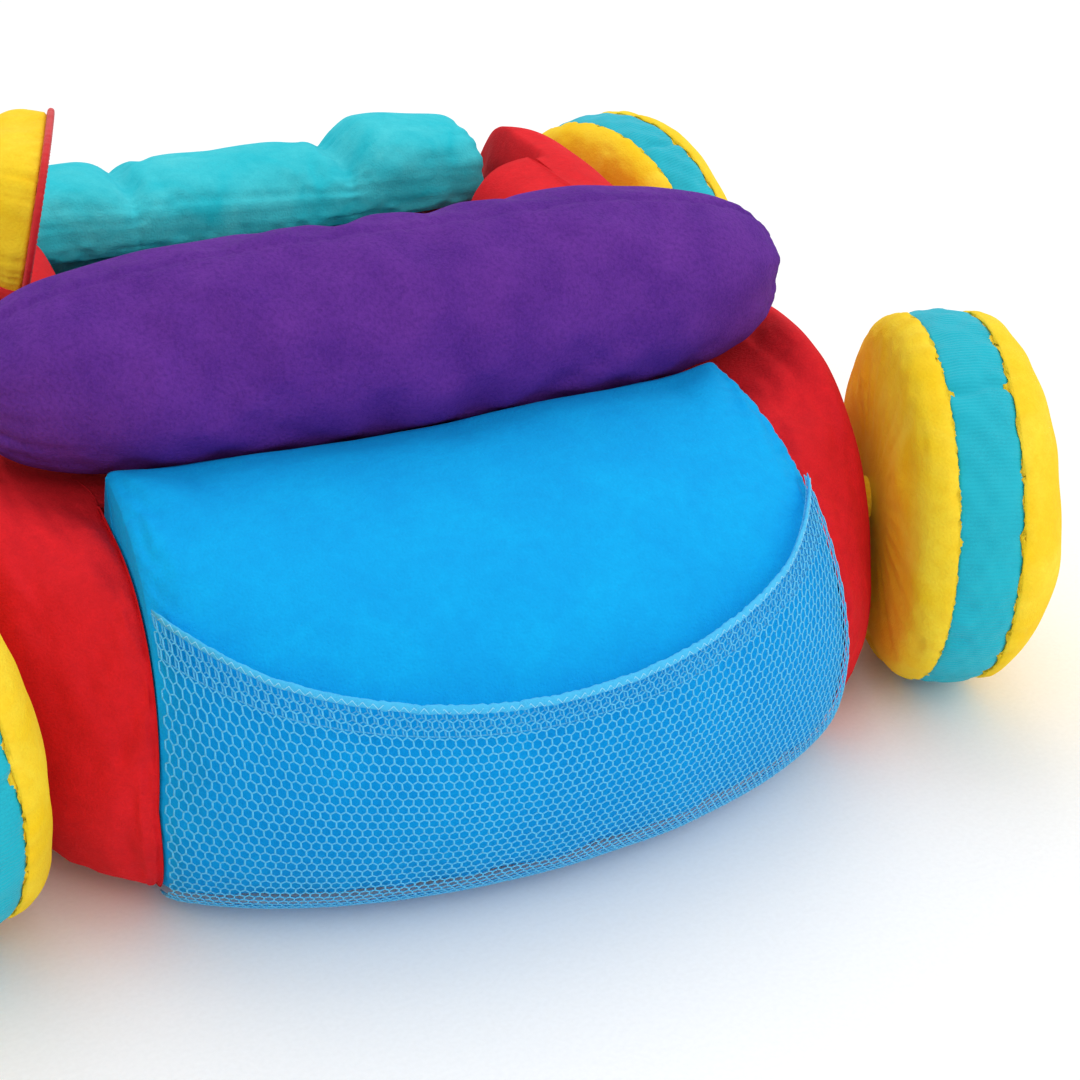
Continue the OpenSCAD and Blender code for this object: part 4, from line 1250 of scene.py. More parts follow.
@dataclass
class FlatPad(Cushion):
    """A boxy pad in the seat well: the seat, the seat back or the shelf under the dash."""

    name: str
    nodes: tuple[str, ...]
    finish: Finish
    slot: str
    y_range: tuple[float, float]
    z_range: tuple[float, float]
    edge: float
    seed: int
    channels: int = 0
    fill: float = 0.6
    swell: float = 3.0
    coarse: tuple[int, int] = (26, 40)
    fine: tuple[int, int] = (110, 150)

    def skin(self, along: Array, around: Array, inset: float) -> Array:
        """Rounded rectangles across X, drawn in towards the two ends."""
        reach = BODY.cockpit_x - BODY.gap - inset
        x = -reach * np.cos(np.pi * along) * 0.998 + 0 * around
        draw = dome(x / reach, 7, 3)
        turn = 2 * np.pi * around
        half_y = (self.y_range[1] - self.y_range[0]) / 2 - inset
        half_z = (self.z_range[1] - self.z_range[0]) / 2 - inset
        y = sum(self.y_range) / 2 + half_y * np.maximum(draw, 0.9) * soft_cos(turn, self.edge)
        z = sum(self.z_range) / 2 + half_z * np.maximum(draw, 0.4) * soft_sin(turn, self.edge)
        return np.stack([x, y, z], -1)

    def held(self, points: Array) -> Array:
        """Firm at the ends, on the floor and along the sewn channels."""
        reach = BODY.cockpit_x - BODY.gap - self.swell
        ends = smooth((np.abs(points[..., 0]) - reach + 9) / 8)
        floor = 1 - smooth((points[..., 2] - self.z_range[0] - self.swell - 1) / 8)
        return np.clip(np.max([ends, floor, 0.9 * self.channel(points, 7)], axis=0), 0, 1)

    def channel(self, points: Array, width: float) -> Array:
        """1 on a sewn channel and down to 0 beside it; the channels split the pad into equal parts."""
        if not self.channels:
            return 0 * points[..., 0]
        pitch = 2 * BODY.cockpit_x / (self.channels + 1)
        off = (points[..., 0] + BODY.cockpit_x) % pitch
        off = np.minimum(off, pitch - off)
        inside = np.abs(points[..., 0]) < BODY.cockpit_x - pitch / 2
        return bell(off, width) * inside

    def sewn(self, points: Array, out: Array) -> Array:
        """Sewn channels with puckers beside them, and lumps."""
        wave = ripple(points[..., 1] + points[..., 2], 14, self.seed)
        pucker = self.channel(points, 12) * np.minimum(0.8 * wave, 0.3)
        even = uneven(points, self.seed + 1, (0.9, 80), (0.3, 30)) * (1 - self.held(points))
        return points + out * (even - 1.6 * self.channel(points, 3) + pucker)[..., None]


def seat_pads() -> list[Cushion]:
    """The seat, the seat back and the dash shelf, each in its place in the seat well."""
    back_front = BODY.wall_y + BODY.seat_back_depth
    rear, front = back_front + BODY.gap, BODY.bonnet_y - BODY.gap
    shelf = BODY.seat_height + BODY.leg_height
    back = (BODY.wall_y + BODY.gap, back_front), (BODY.ground, BODY.seat_back_height)
    seat = (rear, front), (BODY.ground, BODY.seat_height)
    dash = (BODY.dash_y - BODY.dash_depth / 2, front), (shelf, shelf + BODY.shelf_depth)
    back_nodes, seat_nodes = ("seat_back_cover", "seat_back_foam"), ("seat_pad_cover", "seat_pad_foam")
    dash_nodes = ("dash_shelf_cover", "dash_shelf_foam")
    return [
        FlatPad("seat_back", back_nodes, RED, "velour_red", *back, edge=7, seed=71, channels=2),
        FlatPad("seat_pad", seat_nodes, AQUA, "velour_aqua", *seat, edge=6, seed=74, channels=2),
        FlatPad("dash_shelf", dash_nodes, AQUA, "velour_aqua", *dash, edge=5, seed=77),
    ]


# ---------------------------------------------------------------- wheels


@dataclass
class Wheel(Cushion):
    """A stuffed wheel: two puffed side panels sewn to a ribbed tread band."""

    side: int
    end: int
    diameter: float = 246
    press_left: float = 8
    press_right: float = 21
    width: float = 136
    tread: float = 41
    splay: float = 19
    setback: float = 167
    patch: float = 76
    cloth: float = 2.4
    rib_pitch: float = 2.5
    slot: str = "velour_yellow"
    finish: Finish = YELLOW
    fill: float = 0.9
    swell: float = 3.5
    coarse: tuple[int, int] = (46, 56)
    columns: int = 256
    panel_share: float = 0.42

    def __post_init__(self) -> None:
        """Names the wheel by its corner and seeds its creases."""
        self.name = f"wheel_{'rear' if self.end < 0 else 'front'}_{'right' if self.side > 0 else 'left'}"
        self.seed = 100 + 10 * (self.side > 0) + 20 * (self.end > 0)
        self.press = self.press_right if self.side > 0 else self.press_left
        chance = np.random.default_rng(self.seed)
        self.folds = np.radians(np.arange(6) * 60 + chance.uniform(-17, 17, 6))
        self.fold_depths = chance.uniform(1.2, 3.6, 6)

    @property
    def radius(self) -> float:
        """Radius of the tread."""
        return self.diameter / 2

    def side_reach(self, radius: Array) -> Array:
        """Half width at a distance from the axle: half the tread and a hill over the rest."""
        puff = (self.width - self.tread) / 2
        return self.tread / 2 + puff * dome(np.maximum(radius, self.patch * 0.3) / self.radius, 2.6, 2.2)

    def profile(self, along: Array, inset: float) -> tuple[Array, Array]:
        """Reach along the axle and radius: out over one panel, across the tread, in over the other."""
        share = self.panel_share
        outer, inner = np.clip(along / share, 0, 1), np.clip((1 - along) / share, 0, 1)
        turn = np.minimum(outer, inner) * np.pi / 2
        radius = (self.radius - inset) * np.maximum(np.sin(turn), 0.012)
        sign = np.where(along < 0.5, 1.0, -1.0)
        reach = self.side_reach(radius * self.radius / (self.radius - inset))
        flat = self.width / 2 - self.press
        pressed = flat - 2.5 * np.log1p(np.exp(np.clip((flat - reach) / 2.5, -30, 30)))
        reach = np.where(along < 0.5, reach, np.maximum(pressed, np.minimum(reach, self.tread / 2)))
        panel = sign * np.maximum(reach - inset, self.tread / 2)
        across = (along - share) / (1 - 2 * share)
        tread = self.tread / 2 * (1 - 2 * np.clip(across, 0, 1))
        return np.where((across > 0) & (across < 1), tread, panel), radius

    def placed(self, reach: Array, radius: Array, turn: Array) -> Array:
        """Points in the seat's frame from reach along the axle, radius and turn about it."""
        seat_y = BODY.length / 2 - self.setback
        seat_x = BODY.plan_x(seat_y)
        away = self.width / 2 - self.press + BODY.gap
        swing = math.radians(self.splay)
        x = seat_x + away * math.cos(swing)
        y = seat_y + away * math.sin(swing)
        out = np.array([math.cos(swing), math.sin(swing)])
        level = np.array([-math.sin(swing), math.cos(swing)])
        flat, high = radius * np.cos(turn), self.radius + radius * np.sin(turn) + 0 * reach
        place = [start + reach * one + flat * two for start, one, two in zip((x, y), out, level)]
        return np.stack([*place, high], -1) * np.array([self.side, self.end, 1.0])

    def hub(self) -> Array:
        """Middle of the axle."""
        return self.placed(np.zeros(1), np.zeros(1), np.zeros(1))[0]

    def near_seams(self, along: Array, width: float) -> Array:
        """1 at the two tread seams and down to 0 beside them, over a width in shares."""
        first, second = along - self.panel_share, along - 1 + self.panel_share
        return np.maximum(bell(first, width), bell(second, width))

    def axle(self) -> Array:
        """Direction along the axle, away from the body."""
        ends = self.placed(np.array([0.0, 1.0]), np.zeros(2), np.zeros(2))
        return ends[1] - ends[0]

    def skin(self, along: Array, around: Array, inset: float) -> Array:
        """The whole wheel turned about its axle."""
        reach, radius = self.profile(along + 0 * around, inset)
        return self.placed(reach, radius, 2 * np.pi * around + 0 * along)

    def held(self, points: Array) -> Array:
        """Firm at the two tread seams, and where the inner panel is sewn to the body."""
        along = self.shares(points)
        seams = self.near_seams(along, 0.018)
        tread = 0.8 * ((along > self.panel_share) & (along < 1 - self.panel_share))
        sewn_on = smooth((along - 0.86) / 0.06)
        ground = 1 - smooth((points[..., 2] - self.swell - 2) / 8)
        return np.clip(np.max([seams, tread, sewn_on, ground], axis=0), 0, 1)

    def creases(self, turn: Array, width: Array | float) -> Array:
        """Depth of the folds that cross the tread: a bell curve of the turn about each fold."""
        off = (turn[..., None] - self.folds + np.pi) % (2 * np.pi) - np.pi
        return (bell(off * self.radius, np.asarray(width)[..., None]) * self.fold_depths).sum(-1)

    def radial(self, points: Array) -> Array:
        """Directions straight away from the axle."""
        away = points - self.hub()
        away = away - (away @ self.axle())[..., None] * self.axle()
        return away / np.linalg.norm(away, axis=-1, keepdims=True)

    def wave(self, turn: Array, away: Array) -> Array:
        """Height of the seam's soft waves, which die with the distance from the seam."""
        return 1.0 * fade(away, 12) * np.minimum(ring_ripple(turn, 20, self.seed + 8), 0.3)

    def swollen(self, moves: Array, rows: Array, columns: int) -> tuple[Array, Array]:
        """Stuffed grid at chosen rows, and its outward directions, before seams and ribs."""
        around = np.arange(columns) / columns
        cut = self.skin(rows[:, None], around[None, :], self.swell)
        free = (1 - self.near_seams(rows, 0.012))[:, None, None]
        points = cut + eased(stretched(moves, rows, around), 2) * free
        out = facing(points)
        flip = np.sign(((points - self.hub()) * out).sum(-1, keepdims=True))
        return points, out * np.where(flip == 0, 1, flip)

    def panel(self, moves: Array, outer: bool) -> Piece:
        """One side panel: its outer face to the seam, a turned-in edge and its lining back."""
        share = np.sin(np.linspace(0.012, 1, 66) * np.pi / 2) * self.panel_share
        points, out = self.swollen(moves, share if outer else 1 - share, self.columns)
        turn = turns(self.columns) + 0 * points[..., 0]
        gone = (self.panel_share - share)[:, None] * np.pi / 2 / self.panel_share * self.radius
        wide = 1.4 * np.minimum(ring_ripple(turn, 30, self.seed + outer), 0.3)
        fine = 0.8 * np.minimum(ring_ripple(turn, 62, self.seed + 3), 0.3)
        pucker = smooth(gone / 6) * fade(gone - 6, 14) * (wide + fine)
        crossing = turn + gone / 900 * (1 if outer else -1)
        fold = fade(gone, 22) * self.creases(crossing, 4.2 + np.minimum(gone, 30) / 9)
        seam = 0.9 * fade(gone, 2.5) + 0.5 * fade(gone, 12)
        free = smooth(gone / 30)
        if not outer:
            free = free * smooth((points[..., 2] - 4) / 10)
            free = free * smooth((share / self.panel_share - 0.3) / 0.2)[:, None]
        even = uneven(points, self.seed + 5, (1.2, 80), (0.4, 32)) * free
        steep = fade(gone, 9)[..., None]
        way = out * (1 - steep) + self.radial(points) * steep
        drawn = way * (self.wave(turn, gone) - fold - seam)[..., None]
        face = points + out * (pucker + even)[..., None] + drawn
        under = (self.axle() * (-2.0 if outer else 2.0))[None, None, :]
        tuck = face[-1:] - way[-1:] * 1.0 + under
        lining = face[::-1] - out[::-1] * (self.cloth + 1.2 * fade(gone, 10))[::-1, :, None]
        word = f"{self.name}_{'outer' if outer else 'inner'}"
        nodes = [f"{word}_panel"] if outer else [f"{word}_panel", f"{self.name}_filling"]
        return self.stuffed(closed_mesh(f"{word}_side", np.concatenate([face, tuck, lining])), *nodes)

    def band(self, moves: Array) -> Piece:
        """The tread band: its ribbed outer face, turned-in edges and its lining, as a closed ring.

        Each rib is a raised half wave of the running length round the wheel, and the folds cross
        the whole band.
        """
        ribs = round(2 * np.pi * self.radius / self.rib_pitch)
        columns = 5 * ribs
        share = np.linspace(self.panel_share + 0.001, 1 - self.panel_share - 0.001, 15)
        points, _ = self.swollen(moves, share, columns)
        turn = turns(columns) + 0 * points[..., 0]
        across = (share[:, None] - 0.5) / (0.5 - self.panel_share)
        radial = self.radial(points)
        rib = 0.42 * np.abs(np.sin(turn * ribs / 2)) * (1 - np.abs(across) ** 8)
        away = (1 - np.abs(across)) * self.tread / 2
        edge = 0.9 * fade(away, 2.4)
        crown = 2.2 * (1 - across**2)
        fold = self.creases(turn + 0.02 * np.sin(np.pi * across), 4.2)
        ground = smooth((points[..., 2] - 2) / 8)
        height = (rib + crown) * ground + self.wave(turn, away) - edge - fold
        face = points + radial * height[..., None]
        lining = face[::-1] - radial[::-1] * self.cloth
        piece = closed_mesh(f"{self.name}_tread", np.concatenate([face, lining]), Ends.LOOP)
        declared(piece, TREAD, self.body, "tread_rib", f"{self.name}_tread_band")
        return piece

    def join(self) -> Piece:
        """The sewn patch between the wheel and the side cushion: a short gathered sleeve."""
        along, columns = np.linspace(0, 1, 14)[:, None], 72
        turn = turns(columns) + 0 * along
        hollow = np.sin(np.pi * along)
        gathers = 0.7 * ring_ripple(turn, 14, self.seed + 9) * hollow
        waist = self.patch * 0.2 - 1.6 * hollow + gathers
        reach = -(self.width / 2 - self.press + BODY.gap + 0.2 + 7.5 * along) + 0 * turn
        piece = closed_mesh(f"{self.name}_sleeve", self.placed(reach, waist, turn))
        return declared(piece, self.finish, self.body, self.slot, f"{self.name}_patch")

    def build(self, moves: Array) -> list[Piece]:
        """Makes the wheel's two panels, its tread band and its joining patch."""
        return [self.panel(moves, True), self.panel(moves, False), self.band(moves), self.join()]


# ---------------------------------------------------------------- pocket


@dataclass
class MeshPocket:
    """The net pocket on the boot: a warp-knitted net of six-sided gaps with a folded, stitched hem."""

    height: float = 143
    lift: float = 42
    mouth: float = 12
    foot: float = 7
    slack: float = 0.8
    gap_width: float = 5.5
    gap_height: float = 4.7
    yarn: float = 0.46
    yarn_share: float = 0.55
    hem: float = 5
    stitch: float = 2.6
    steps: int = 200

    @property
    def half(self) -> float:
        """Half of the pocket's width, seam to seam."""
        return BODY.seam_x - 1.5

    def spots(self, across: Array, up: Array, off: Array) -> Array:
        """Places on the pocket, hung between its seams.

        The height goes from the foot to a hem that rises with the square of x. The net stands off
        the boot by its slack and, towards the hem, by the mouth, but not at the side seams, where
        it follows the cushion into the seam.

        Args:
            across: From -1 at the left seam to 1 at the right one.
            up: From 0 at the foot to 1 at the hem.
            off: Extra distance from the boot.

        Returns:
            Points of the broadcast shape and 3.
        """
        x = across * self.half
        top = self.height + self.lift * (np.abs(x) / (BODY.seam_x - 4)) ** 2
        z = self.foot + up * (top - self.foot)
        edge = BODY.seam_x - np.abs(x)
        follow = 2.4 * fade(edge, 3) + 1.3 * fade(edge, 22)
        loose = 1 - across**4
        stand = 1.0 + self.slack * (1 - (2 * up - 1) ** 2) + off + self.mouth * up**1.5 * loose - follow
        sway = np.maximum(1.1 * np.sin(np.pi * up) * ripple(x + 20 * up, 95, 81) * loose, -0.4)
        x = x + 0 * z
        return BODY.leaned(np.stack([x, BODY.boot_rear_y(x, z, stand + sway), z], -1))

    def middle_line(self, across: bool) -> tuple[Array, Array]:
        """Parameters along the pocket's middle row or column, and the running length at each."""
        fine = np.linspace(-1 if across else 0, 1, 400)
        shares = (fine, 0.6 + 0 * fine) if across else (0 * fine, fine)
        return fine, running(self.spots(*shares, 0.0))

    def even(self, across: bool) -> Array:
        """Parameters whose spots lie equally far apart along the middle row or column."""
        fine, run = self.middle_line(across)
        return np.interp(np.linspace(0, run[-1], self.steps), run, fine)

    def run(self, across: bool) -> float:
        """Running length of the pocket across its middle, or up it."""
        return float(self.middle_line(across)[1][-1])

    def strands(self, low: float, high: float, off: float, shift: float, seed: int) -> tuple[Array, Array]:
        """Yarns of the net between two heights, as closed rods.

        Corners lie on half columns and rows, raised and lowered in turn by a sixth of a row. Yarns
        run along each row and, thicker, up every other half column.

        Args:
            low: Height share of the first row.
            high: Height share of the last row.
            off: Extra distance from the boot.
            shift: How far across the net is moved, in gaps.
            seed: Seed of the small unevenness of its corners.

        Returns:
            Vertices and triangles.
        """
        columns = round(self.run(True) / self.gap_width)
        rows = max(round(self.run(False) * (high - low) / self.gap_height), 1)
        chance = np.random.default_rng(seed)
        across = np.clip(np.arange(2 * columns + 1) / columns - 1 + shift / columns, -1, 1)
        across = np.interp(across, np.linspace(-1, 1, self.steps), self.even(True))
        row, column = np.arange(rows + 1)[:, None], np.arange(2 * columns + 1)[None, :]
        zig = np.where((row + column) % 2 == 0, 1.0, -1.0) / 6
        inner = (row > 0) & (row < rows)
        up = (row + np.where(inner, zig, 0) + chance.normal(0, 0.035, zig.shape) * inner) / rows
        up = np.clip(low + (high - low) * up, 0, 1)
        up = np.interp(up, np.linspace(0, 1, self.steps), self.even(False))
        across = np.clip(across[None, :] + chance.normal(0, 0.00035, zig.shape), -1, 1)
        knots = self.spots(across, up, off + chance.normal(0, 0.06, zig.shape))
        flat_starts, flat_ends = knots[:, :-1].reshape(-1, 3), knots[:, 1:].reshape(-1, 3)
        upright = ((row + column) % 2 == 0)[:-1]
        tall_starts, tall_ends = knots[:-1][upright], knots[1:][upright]
        starts, ends = np.concatenate([flat_starts, tall_starts]), np.concatenate([flat_ends, tall_ends])
        radius = np.repeat([self.yarn * 0.9, self.yarn * 1.12], [len(flat_starts), len(tall_starts)])
        return rods(starts, ends, radius * chance.uniform(0.9, 1.12, len(radius)), 5)

    def netting(self) -> Piece:
        """The net itself, a sheet of knitted yarn cut to the pocket."""
        vertices, faces = self.strands(0.0, 1.0, 0.0, 0.0, 82)
        return placed_mesh("pocket_netting", vertices, faces.tolist())

    def hem_roll(self) -> Piece:
        """The rolled hem: an oval ring carried along the pocket's top edge, drawn in by its stitches."""
        along, around = np.linspace(-1, 1, 300)[:, None], np.arange(18)[None, :] / 18
        middle = self.spots(along[:, 0], np.ones(300), 0.6)[:, None]
        place = along * self.half
        turn = 2 * np.pi * around
        pinch = 1 + 0.1 * ripple(place, 5.2, 83) + 0.06 * ripple(place, 2.4, 84)
        ends = np.clip((1 - np.abs(along)) * self.half / 4, 0.15, 1) ** 0.5
        back = 0.42 * self.hem * np.cos(turn) * pinch * ends
        high = 0.55 * self.hem * np.sin(turn) * pinch * ends + 0.4 * ripple(place, 26, 85)
        points = middle + np.stack([0 * back, back, high + 0.4 * self.hem], -1)
        return closed_mesh("pocket_hem_roll", points)

    def hem_fold(self) -> Piece:
        """The net turned in behind the hem, a second layer two gaps deep."""
        vertices, faces = self.strands(0.91, 1.0, -1.5, 0.5, 86)
        return placed_mesh("pocket_hem_fold", vertices, faces.tolist())

    def hem_stitches(self) -> Piece:
        """Zigzag stitches over the front of the hem."""
        count = int(self.run(True) / self.stitch)
        along = np.linspace(-0.985, 0.985, count)
        along = np.interp(along, np.linspace(-1, 1, self.steps), self.even(True))
        level = np.where(np.arange(count) % 2 == 0, -1.0, 1.0)
        path = self.spots(along, np.ones(count), 0.6)
        path[:, 1] -= 0.42 * self.hem * np.sqrt(1 - (1.5 / (0.55 * self.hem)) ** 2) + 0.1
        path[:, 2] += 0.4 * self.hem + level * 1.5
        vertices, faces = rods(path[:-1], path[1:], 0.32, 6)
        return placed_mesh("pocket_hem_stitches", vertices, faces.tolist())

    def build(self) -> list[Piece]:
        net = declared(self.netting(), NET_YARN, "seat_body", "net", "pocket_net")
        roll = declared(self.hem_roll(), HEM, "seat_body", "hem", "pocket_hem")
        fold = declared(self.hem_fold(), NET_YARN, "seat_body", "net")
        stitches = declared(self.hem_stitches(), THREAD, "seat_body", "hem")
        wide, tall = self.run(True), self.run(False) + self.lift * 0.5
        return [net, roll, fold, stitches]


# ---------------------------------------------------------------- mirror


MIRROR_LEAN = math.radians(15)
MIRROR_TURN = math.radians(13)
MIRROR_HINGE = np.array([-BODY.ridge_x, 22.0, BODY.shoulder + 4.4])


def turned(first: Array, second: Array, angle: float) -> tuple[Array, Array]:
    """Two coordinates turned from the first towards the less of the second."""
    cosine, sine = math.cos(angle), math.sin(angle)
    return first * cosine + second * sine, -first * sine + second * cosine


def mirror_place(points: Array) -> Array:
    """Points of the mirror's own frame, whose origin is its hinge, in the seat's frame.

    X is the way its face looks and Z runs up the face, which leans towards the seat.
    """
    x, z = turned(points[..., 0], points[..., 2], MIRROR_LEAN)
    return upright_place(np.stack([x, points[..., 1], z], -1))


def upright_place(points: Array) -> Array:
    """Points about the mirror's hinge, turned to the rear, in the seat's frame."""
    x, y = turned(points[..., 0], points[..., 1], MIRROR_TURN)
    return np.stack([x, y, points[..., 2]], -1) + MIRROR_HINGE


@dataclass
class MirrorCushion(Cushion):
    """The stuffed back of the side mirror."""

    name: str = "mirror_cushion"
    nodes: tuple[str, ...] = ("mirror_back", "mirror_filling")
    finish: Finish = YELLOW
    slot: str = "velour_yellow"
    body: str = "mirror"
    height: float = 104
    width: float = 136
    depth: float = 54
    film: float = 1.5
    tab: float = 15
    corner: float = 3.2
    fill: float = 0.8
    swell: float = 3.0
    coarse: tuple[int, int] = (26, 44)
    fine: tuple[int, int] = (110, 200)
    overrun: float = 1.06
    seam_share: float = 0.943
    flank: float = 95

    def outline(self, turn: Array, inset: Array) -> tuple[Array, Array]:
        """Y and Z of the face's rounded rectangle, drawn in by an inset."""
        y = (self.width / 2 - inset) * soft_cos(turn, self.corner)
        z = (self.height / 2 - inset) * soft_sin(turn, self.corner)
        return y, z

    def skin(self, along: Array, around: Array, inset: float) -> Array:
        """Outlines that grow from the back's middle to the face, as a hill has it."""
        swell = np.sin(np.pi / 2 * np.clip(along * self.overrun, 0.012, 1))
        depth = (1 - swell**2.2) ** (1 / 2.6)
        y, z = self.outline(2 * np.pi * around, inset)
        face = self.depth / 2 - self.film - BODY.gap - 0.2
        x = face - depth * (self.depth - self.film - BODY.gap - inset) + 0 * y
        edge = 1 / self.overrun
        shut = np.clip(1 - (along - edge) / (1 - edge) * 0.9, 0.1, 1)
        return self.raised(x, y * swell * shut, z * swell * shut)

    def raised(self, x: Array, y: Array, z: Array) -> Array:
        """Points about the middle of the mirror, above its tab, in the seat's frame."""
        return mirror_place(np.stack([x, y, self.tab + self.height / 2 + z], -1))

    def held(self, points: Array) -> Array:
        """Firm at the face's seam and across the face."""
        return smooth((self.shares(points) - 0.84) / 0.09)

    def sewn(self, points: Array, out: Array) -> Array:
        """Puckers at the face's seam, gathers above the tab, and lumps."""
        along = self.shares(points)
        turn = turns(points.shape[1]) + 0 * along
        gone = np.maximum(self.seam_share - along, 0) * self.flank
        behind = along < self.seam_share
        waves = 1.4 * ring_ripple(turn, 26, 91) + 0.5 * ring_ripple(turn, 55, 92)
        pucker = fade(gone, 13) * behind * np.minimum(waves, 0.3)
        low = bell(np.sin(turn / 2 + np.pi / 4), 0.35)
        gather = 2.4 * low * fade(gone, 30) * behind * np.minimum(ring_ripple(turn, 34, 93), 0.2)
        even = uneven(points, 94, (1.0, 70), (0.4, 30)) * (1 - self.held(points))
        return points + out * (pucker + gather + even)[..., None]


@dataclass
class SideMirror:
    """The mirror's face, binding and tab, and the anchor strip on the shoulder."""

    cushion: MirrorCushion
    binding: float = 7
    tab_width: float = 56
    bead: float = 2.5
    room: float = 0.6

    def carried(self, section: Array) -> Array:
        """A section carried along Y, drawn in to its middle at both ends to round them."""
        stations = np.sin(np.linspace(-np.pi / 2, np.pi / 2, 60))
        short = (1 - np.abs(stations) ** 14)[:, None, None] ** 0.5 * 0.999 + 0.001
        middle = section.mean(0)
        rings = middle + (section[None] - middle) * short
        y = (stations * self.tab_width / 2)[:, None] + 0 * rings[..., 0]
        return np.stack([rings[..., 0], y, rings[..., 1]], -1)

    def bound_edge(self) -> Piece:
        """The red binding: an oval ring carried round the face's outline, puckered by its stitches."""
        face = self.cushion
        turn, around = np.linspace(0, 2 * np.pi, 260, endpoint=False)[:, None], turns(20)
        pucker = 0.25 * ring_ripple(turn, 46, 96) + 0.15 * ring_ripple(turn, 90, 97)
        inset = self.binding / 2 - (self.binding / 2 + 0.2 + pucker) * soft_cos(around, 2.6)
        y, z = face.outline(turn, inset)
        x = face.depth / 2 + 0.2 + (2.3 + 0.4 * pucker) * soft_sin(around, 2.6) + 0 * y
        return closed_mesh("mirror_binding", face.raised(x, y, z), Ends.LOOP)

    def film(self) -> Piece:
        """The film panel: a thin plate in the binding, whose face waves by a few tenths."""
        face = self.cushion
        size = np.concatenate([np.linspace(0.02, 1, 60), np.linspace(1, 0.02, 30)])[:, None]
        y, z = face.outline(turns(160), self.binding - 0.6)
        front = np.concatenate([np.ones(60), np.zeros(30)])[:, None]
        x = face.depth / 2 - face.film + front * (face.film - 0.1) + 0 * y * size
        points = np.stack([x, y * size, face.tab + face.height / 2 + z * size], -1)
        waves = uneven(points, 98, (0.35, 42), (0.15, 18))
        points[..., 0] += front * waves * (1 - size**4) - 0.3 * front
        return closed_mesh("mirror_film", mirror_place(points))

    def tab(self) -> Piece:
        """The tab: tape folded round a cord, a round bead below and two parallel faces above."""
        turn = turns(48)[0]
        rise, tall = np.sin(turn), self.cushion.tab + 3.0
        thick = self.bead - (self.bead - 1.5) * smooth((rise + 0.1) / 0.6)
        high = self.bead * np.minimum(rise, 0) + np.maximum(rise, 0) ** 0.8 * tall
        points = self.carried(np.stack([thick * soft_cos(turn, 2.4), high], -1))
        points[..., 0] += 0.2 * ripple(points[..., 1], 9, 101)
        return closed_mesh("mirror_tab_tape", mirror_place(points))

    def anchor(self) -> Piece:
        """The anchor strip: a padded tape with a round channel along its top for the bead."""
        turn = turns(80)[0]
        x = 8 * soft_cos(turn, 5)
        open_r = self.bead + self.room
        channel = -np.sqrt(np.maximum(open_r**2 - x**2, 0))
        top = np.where(np.abs(x) < open_r * 0.97, channel, np.minimum(1.1, 0.375 * np.abs(x) - 0.6))
        z = np.where(np.sin(turn) > 0, top, -4.6 + 0.8 * soft_sin(turn, 5))
        section = self.carried(np.stack([x, z], -1))
        return closed_mesh("mirror_anchor_strip", upright_place(section))

    def stitches(self) -> Piece:
        """Stitches round the binding, through the tape near its inner edge."""
        face, count = self.cushion, 500
        y, z = face.outline(np.linspace(0, 2 * np.pi, count), self.binding * 0.72)
        path = face.raised(face.depth / 2 + 2.35 + 0 * y, y, z)
        lift = mirror_place(np.array([[1.0, 0, 0]])) - mirror_place(np.zeros((1, 3)))
        return stitch_row("mirror_binding_stitches", path, np.repeat(lift, count, 0), 3.4, 2.5, 0.28)

    def build(self) -> list[Piece]:
        """Makes, dresses and places the mirror's pieces and the anchor."""
        return [
            declared(self.bound_edge(), TAPE, "mirror", "binding_red", "mirror_rim"),
            declared(self.film(), MirrorFilm(), "mirror", "mirror_film", "mirror_film_panel"),
            declared(self.tab(), TAPE, "mirror", "binding_red", "mirror_tab"),
            declared(self.anchor(), TAPE, "seat_body", "binding_red", "mirror_anchor"),
            declared(self.stitches(), RED_THREAD, "mirror", "binding_red"),
        ]


# ---------------------------------------------------------------- underside


@dataclass
class Underside:
    """The woven cloth under the body, with a bound edge."""

    thickness: float = 2.6
    margin: float = 50
    cut_share: float = 0.866

    def build(self) -> list[Piece]:
        """A rounded sheet: its outline scaled from the middle to the edge, with a thicker rim."""
        size = np.concatenate([np.linspace(0.01, 1, 50), np.linspace(1, 0.01, 50)])[:, None]
        turn = turns(240)
        x = (BODY.width / 2 - self.margin) * soft_cos(turn, BODY.plan_across) * size
        y = (BODY.length / 2 - self.margin) * soft_sin(turn, BODY.plan_along) * size
        top = np.concatenate([np.ones(50), np.zeros(50)])[:, None] + 0 * x
        rim = smooth((size - 0.965) / 0.02)
        weave = 0.12 * ripple(x + y, 18, 111) * top * (1 - rim)
        z = 0.5 + top * (self.thickness * (0.55 + 0.45 * rim)) + weave
        piece = closed_mesh("underside_cloth", np.stack([x, y, z], -1))
        declared(piece, UNDERCLOTH, "seat_body", "bottom_cloth", "bottom_sheet")
        return [piece]


# ---------------------------------------------------------------- stage


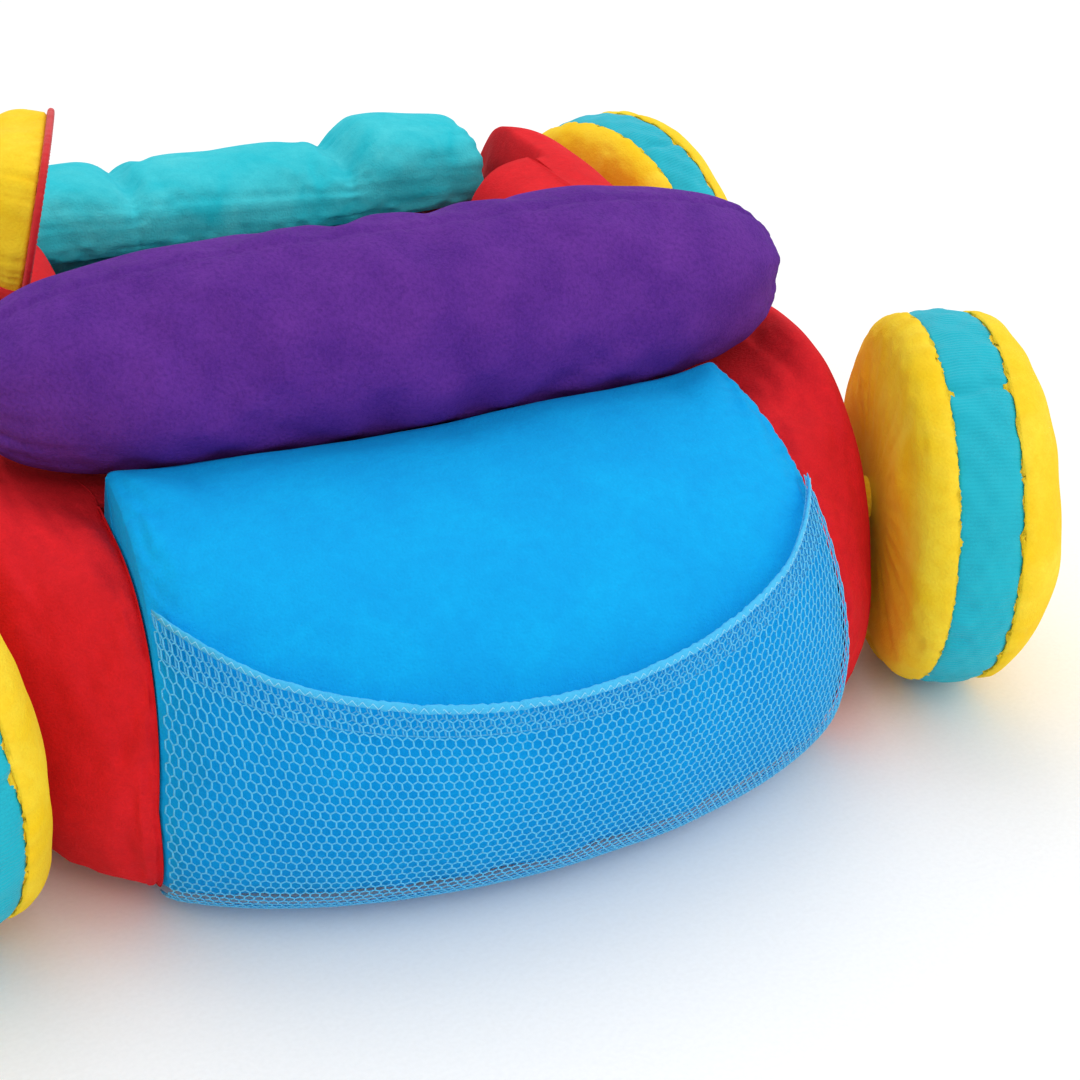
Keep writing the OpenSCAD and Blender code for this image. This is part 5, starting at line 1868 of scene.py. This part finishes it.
@dataclass
class Studio:
    """Camera, white board and soft lights."""

    eye: tuple[float, float, float] = (-0.364, -1.1775, 0.7105)
    tilt: float = 61.3
    turn: float = -23.7
    lens: float = 36 * 1930 / 1080

    def camera(self) -> None:
        """The photograph's viewpoint, without shift or blur."""
        data = bpy.data.cameras.new("photo_camera")
        data.sensor_width = 36
        data.lens = self.lens
        data.clip_start = 0.02
        made = bpy.data.objects.new("photo_camera", data)
        made.location = self.eye
        made.rotation_euler = (math.radians(self.tilt), 0, math.radians(self.turn))
        bpy.context.scene.collection.objects.link(made)
        bpy.context.scene.camera = made

    def floor(self) -> None:
        """A wide board just under the wheels."""
        half, below = 9000.0, -0.4
        signs = ((-1, -1), (1, -1), (1, 1), (-1, 1))
        corners = np.array([[half * x, half * y, below] for x, y in signs])
        board = placed_mesh("floor_board", corners, [[0, 1, 2, 3]])
        PaleFloor().dress(board)

    def world(self) -> None:
        """Soft light from all round, which the camera, glossy and clear rays see as white."""
        world = bpy.data.worlds.new("studio")
        bpy.context.scene.world = world
        world.use_nodes = True
        tree = world.node_tree
        sky = tree.nodes["Background"]
        rays = add_node(tree, "ShaderNodeLightPath")
        camera, glossy, clear = (
            rays.outputs[f"Is {word} Ray"] for word in ("Camera", "Glossy", "Transmission")
        )
        seen = reckoned(tree, "MAXIMUM", reckoned(tree, "MAXIMUM", camera, glossy), clear)
        spread = {"Value": seen, "To Min": 0.88, "To Max": 1.0}
        strength = add_node(tree, "ShaderNodeMapRange", spread).outputs["Result"]
        fill_inputs(tree, sky, {"Strength": strength, "Color": (1, 1, 1, 1)})

    def lamp(self, name: str, place: tuple[float, float, float], size: float, power: float) -> None:
        """A square soft lamp that looks at the seat's middle."""
        data = bpy.data.lights.new(name, "AREA")
        data.size = size
        data.energy = power
        made = bpy.data.objects.new(name, data)
        made.location = place
        away = np.array(place) - np.array([0.0, 0.0, 0.12])
        flat = math.hypot(away[0], away[1])
        made.rotation_euler = (math.atan2(flat, away[2]), 0, math.atan2(away[1], away[0]) + math.pi / 2)
        bpy.context.scene.collection.objects.link(made)

    def build(self) -> None:
        """Sets the whole stage and the plain colour view."""
        bpy.context.scene.view_settings.view_transform = "Standard"
        self.camera()
        self.floor()
        self.world()
        self.lamp("key_lamp", (0.5, -2.6, 2.2), 1.8, 12)
        self.lamp("side_lamp", (2.6, -1.6, 1.6), 2.0, 14)
        self.lamp("top_lamp", (0.3, 1.2, 2.8), 2.2, 18)


def cushions() -> list[Cushion]:
    """Every stuffed piece, in the order in which the seat is sewn together."""
    ends = [
        EndCushion("boot_cushion", ("boot_cover", "boot_filling"), BLUE, True, seed=3),
        EndCushion("bonnet_cushion", ("bonnet_cover", "bonnet_filling"), BLUE, False, seed=9),
    ]
    sides = [SideCushion(-1), SideCushion(1)]
    wheels = [Wheel(side, end) for side in (-1, 1) for end in (-1, 1)]
    return [*ends, *sides, *seat_pads(), BackrestRoll(), DashBolster(), *wheels, MirrorCushion()]


def main() -> None:
    """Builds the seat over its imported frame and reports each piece."""
    logging.basicConfig(level=logging.INFO, format="%(message)s")
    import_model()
    Studio().build()
    stuffed = cushions()
    moves = StuffingRun().moves(stuffed)
    pieces = [piece for cushion in stuffed for piece in cushion.build(moves[cushion.name])]
    mirror = next(cushion for cushion in stuffed if isinstance(cushion, MirrorCushion))
    for part in (MeshPocket(), SideMirror(mirror), Underside()):
        pieces += part.build()
    for piece in pieces:
        LOG.info("%s: %d faces", piece.name, len(piece.data.polygons))


if __name__ == "__main__":
    main()
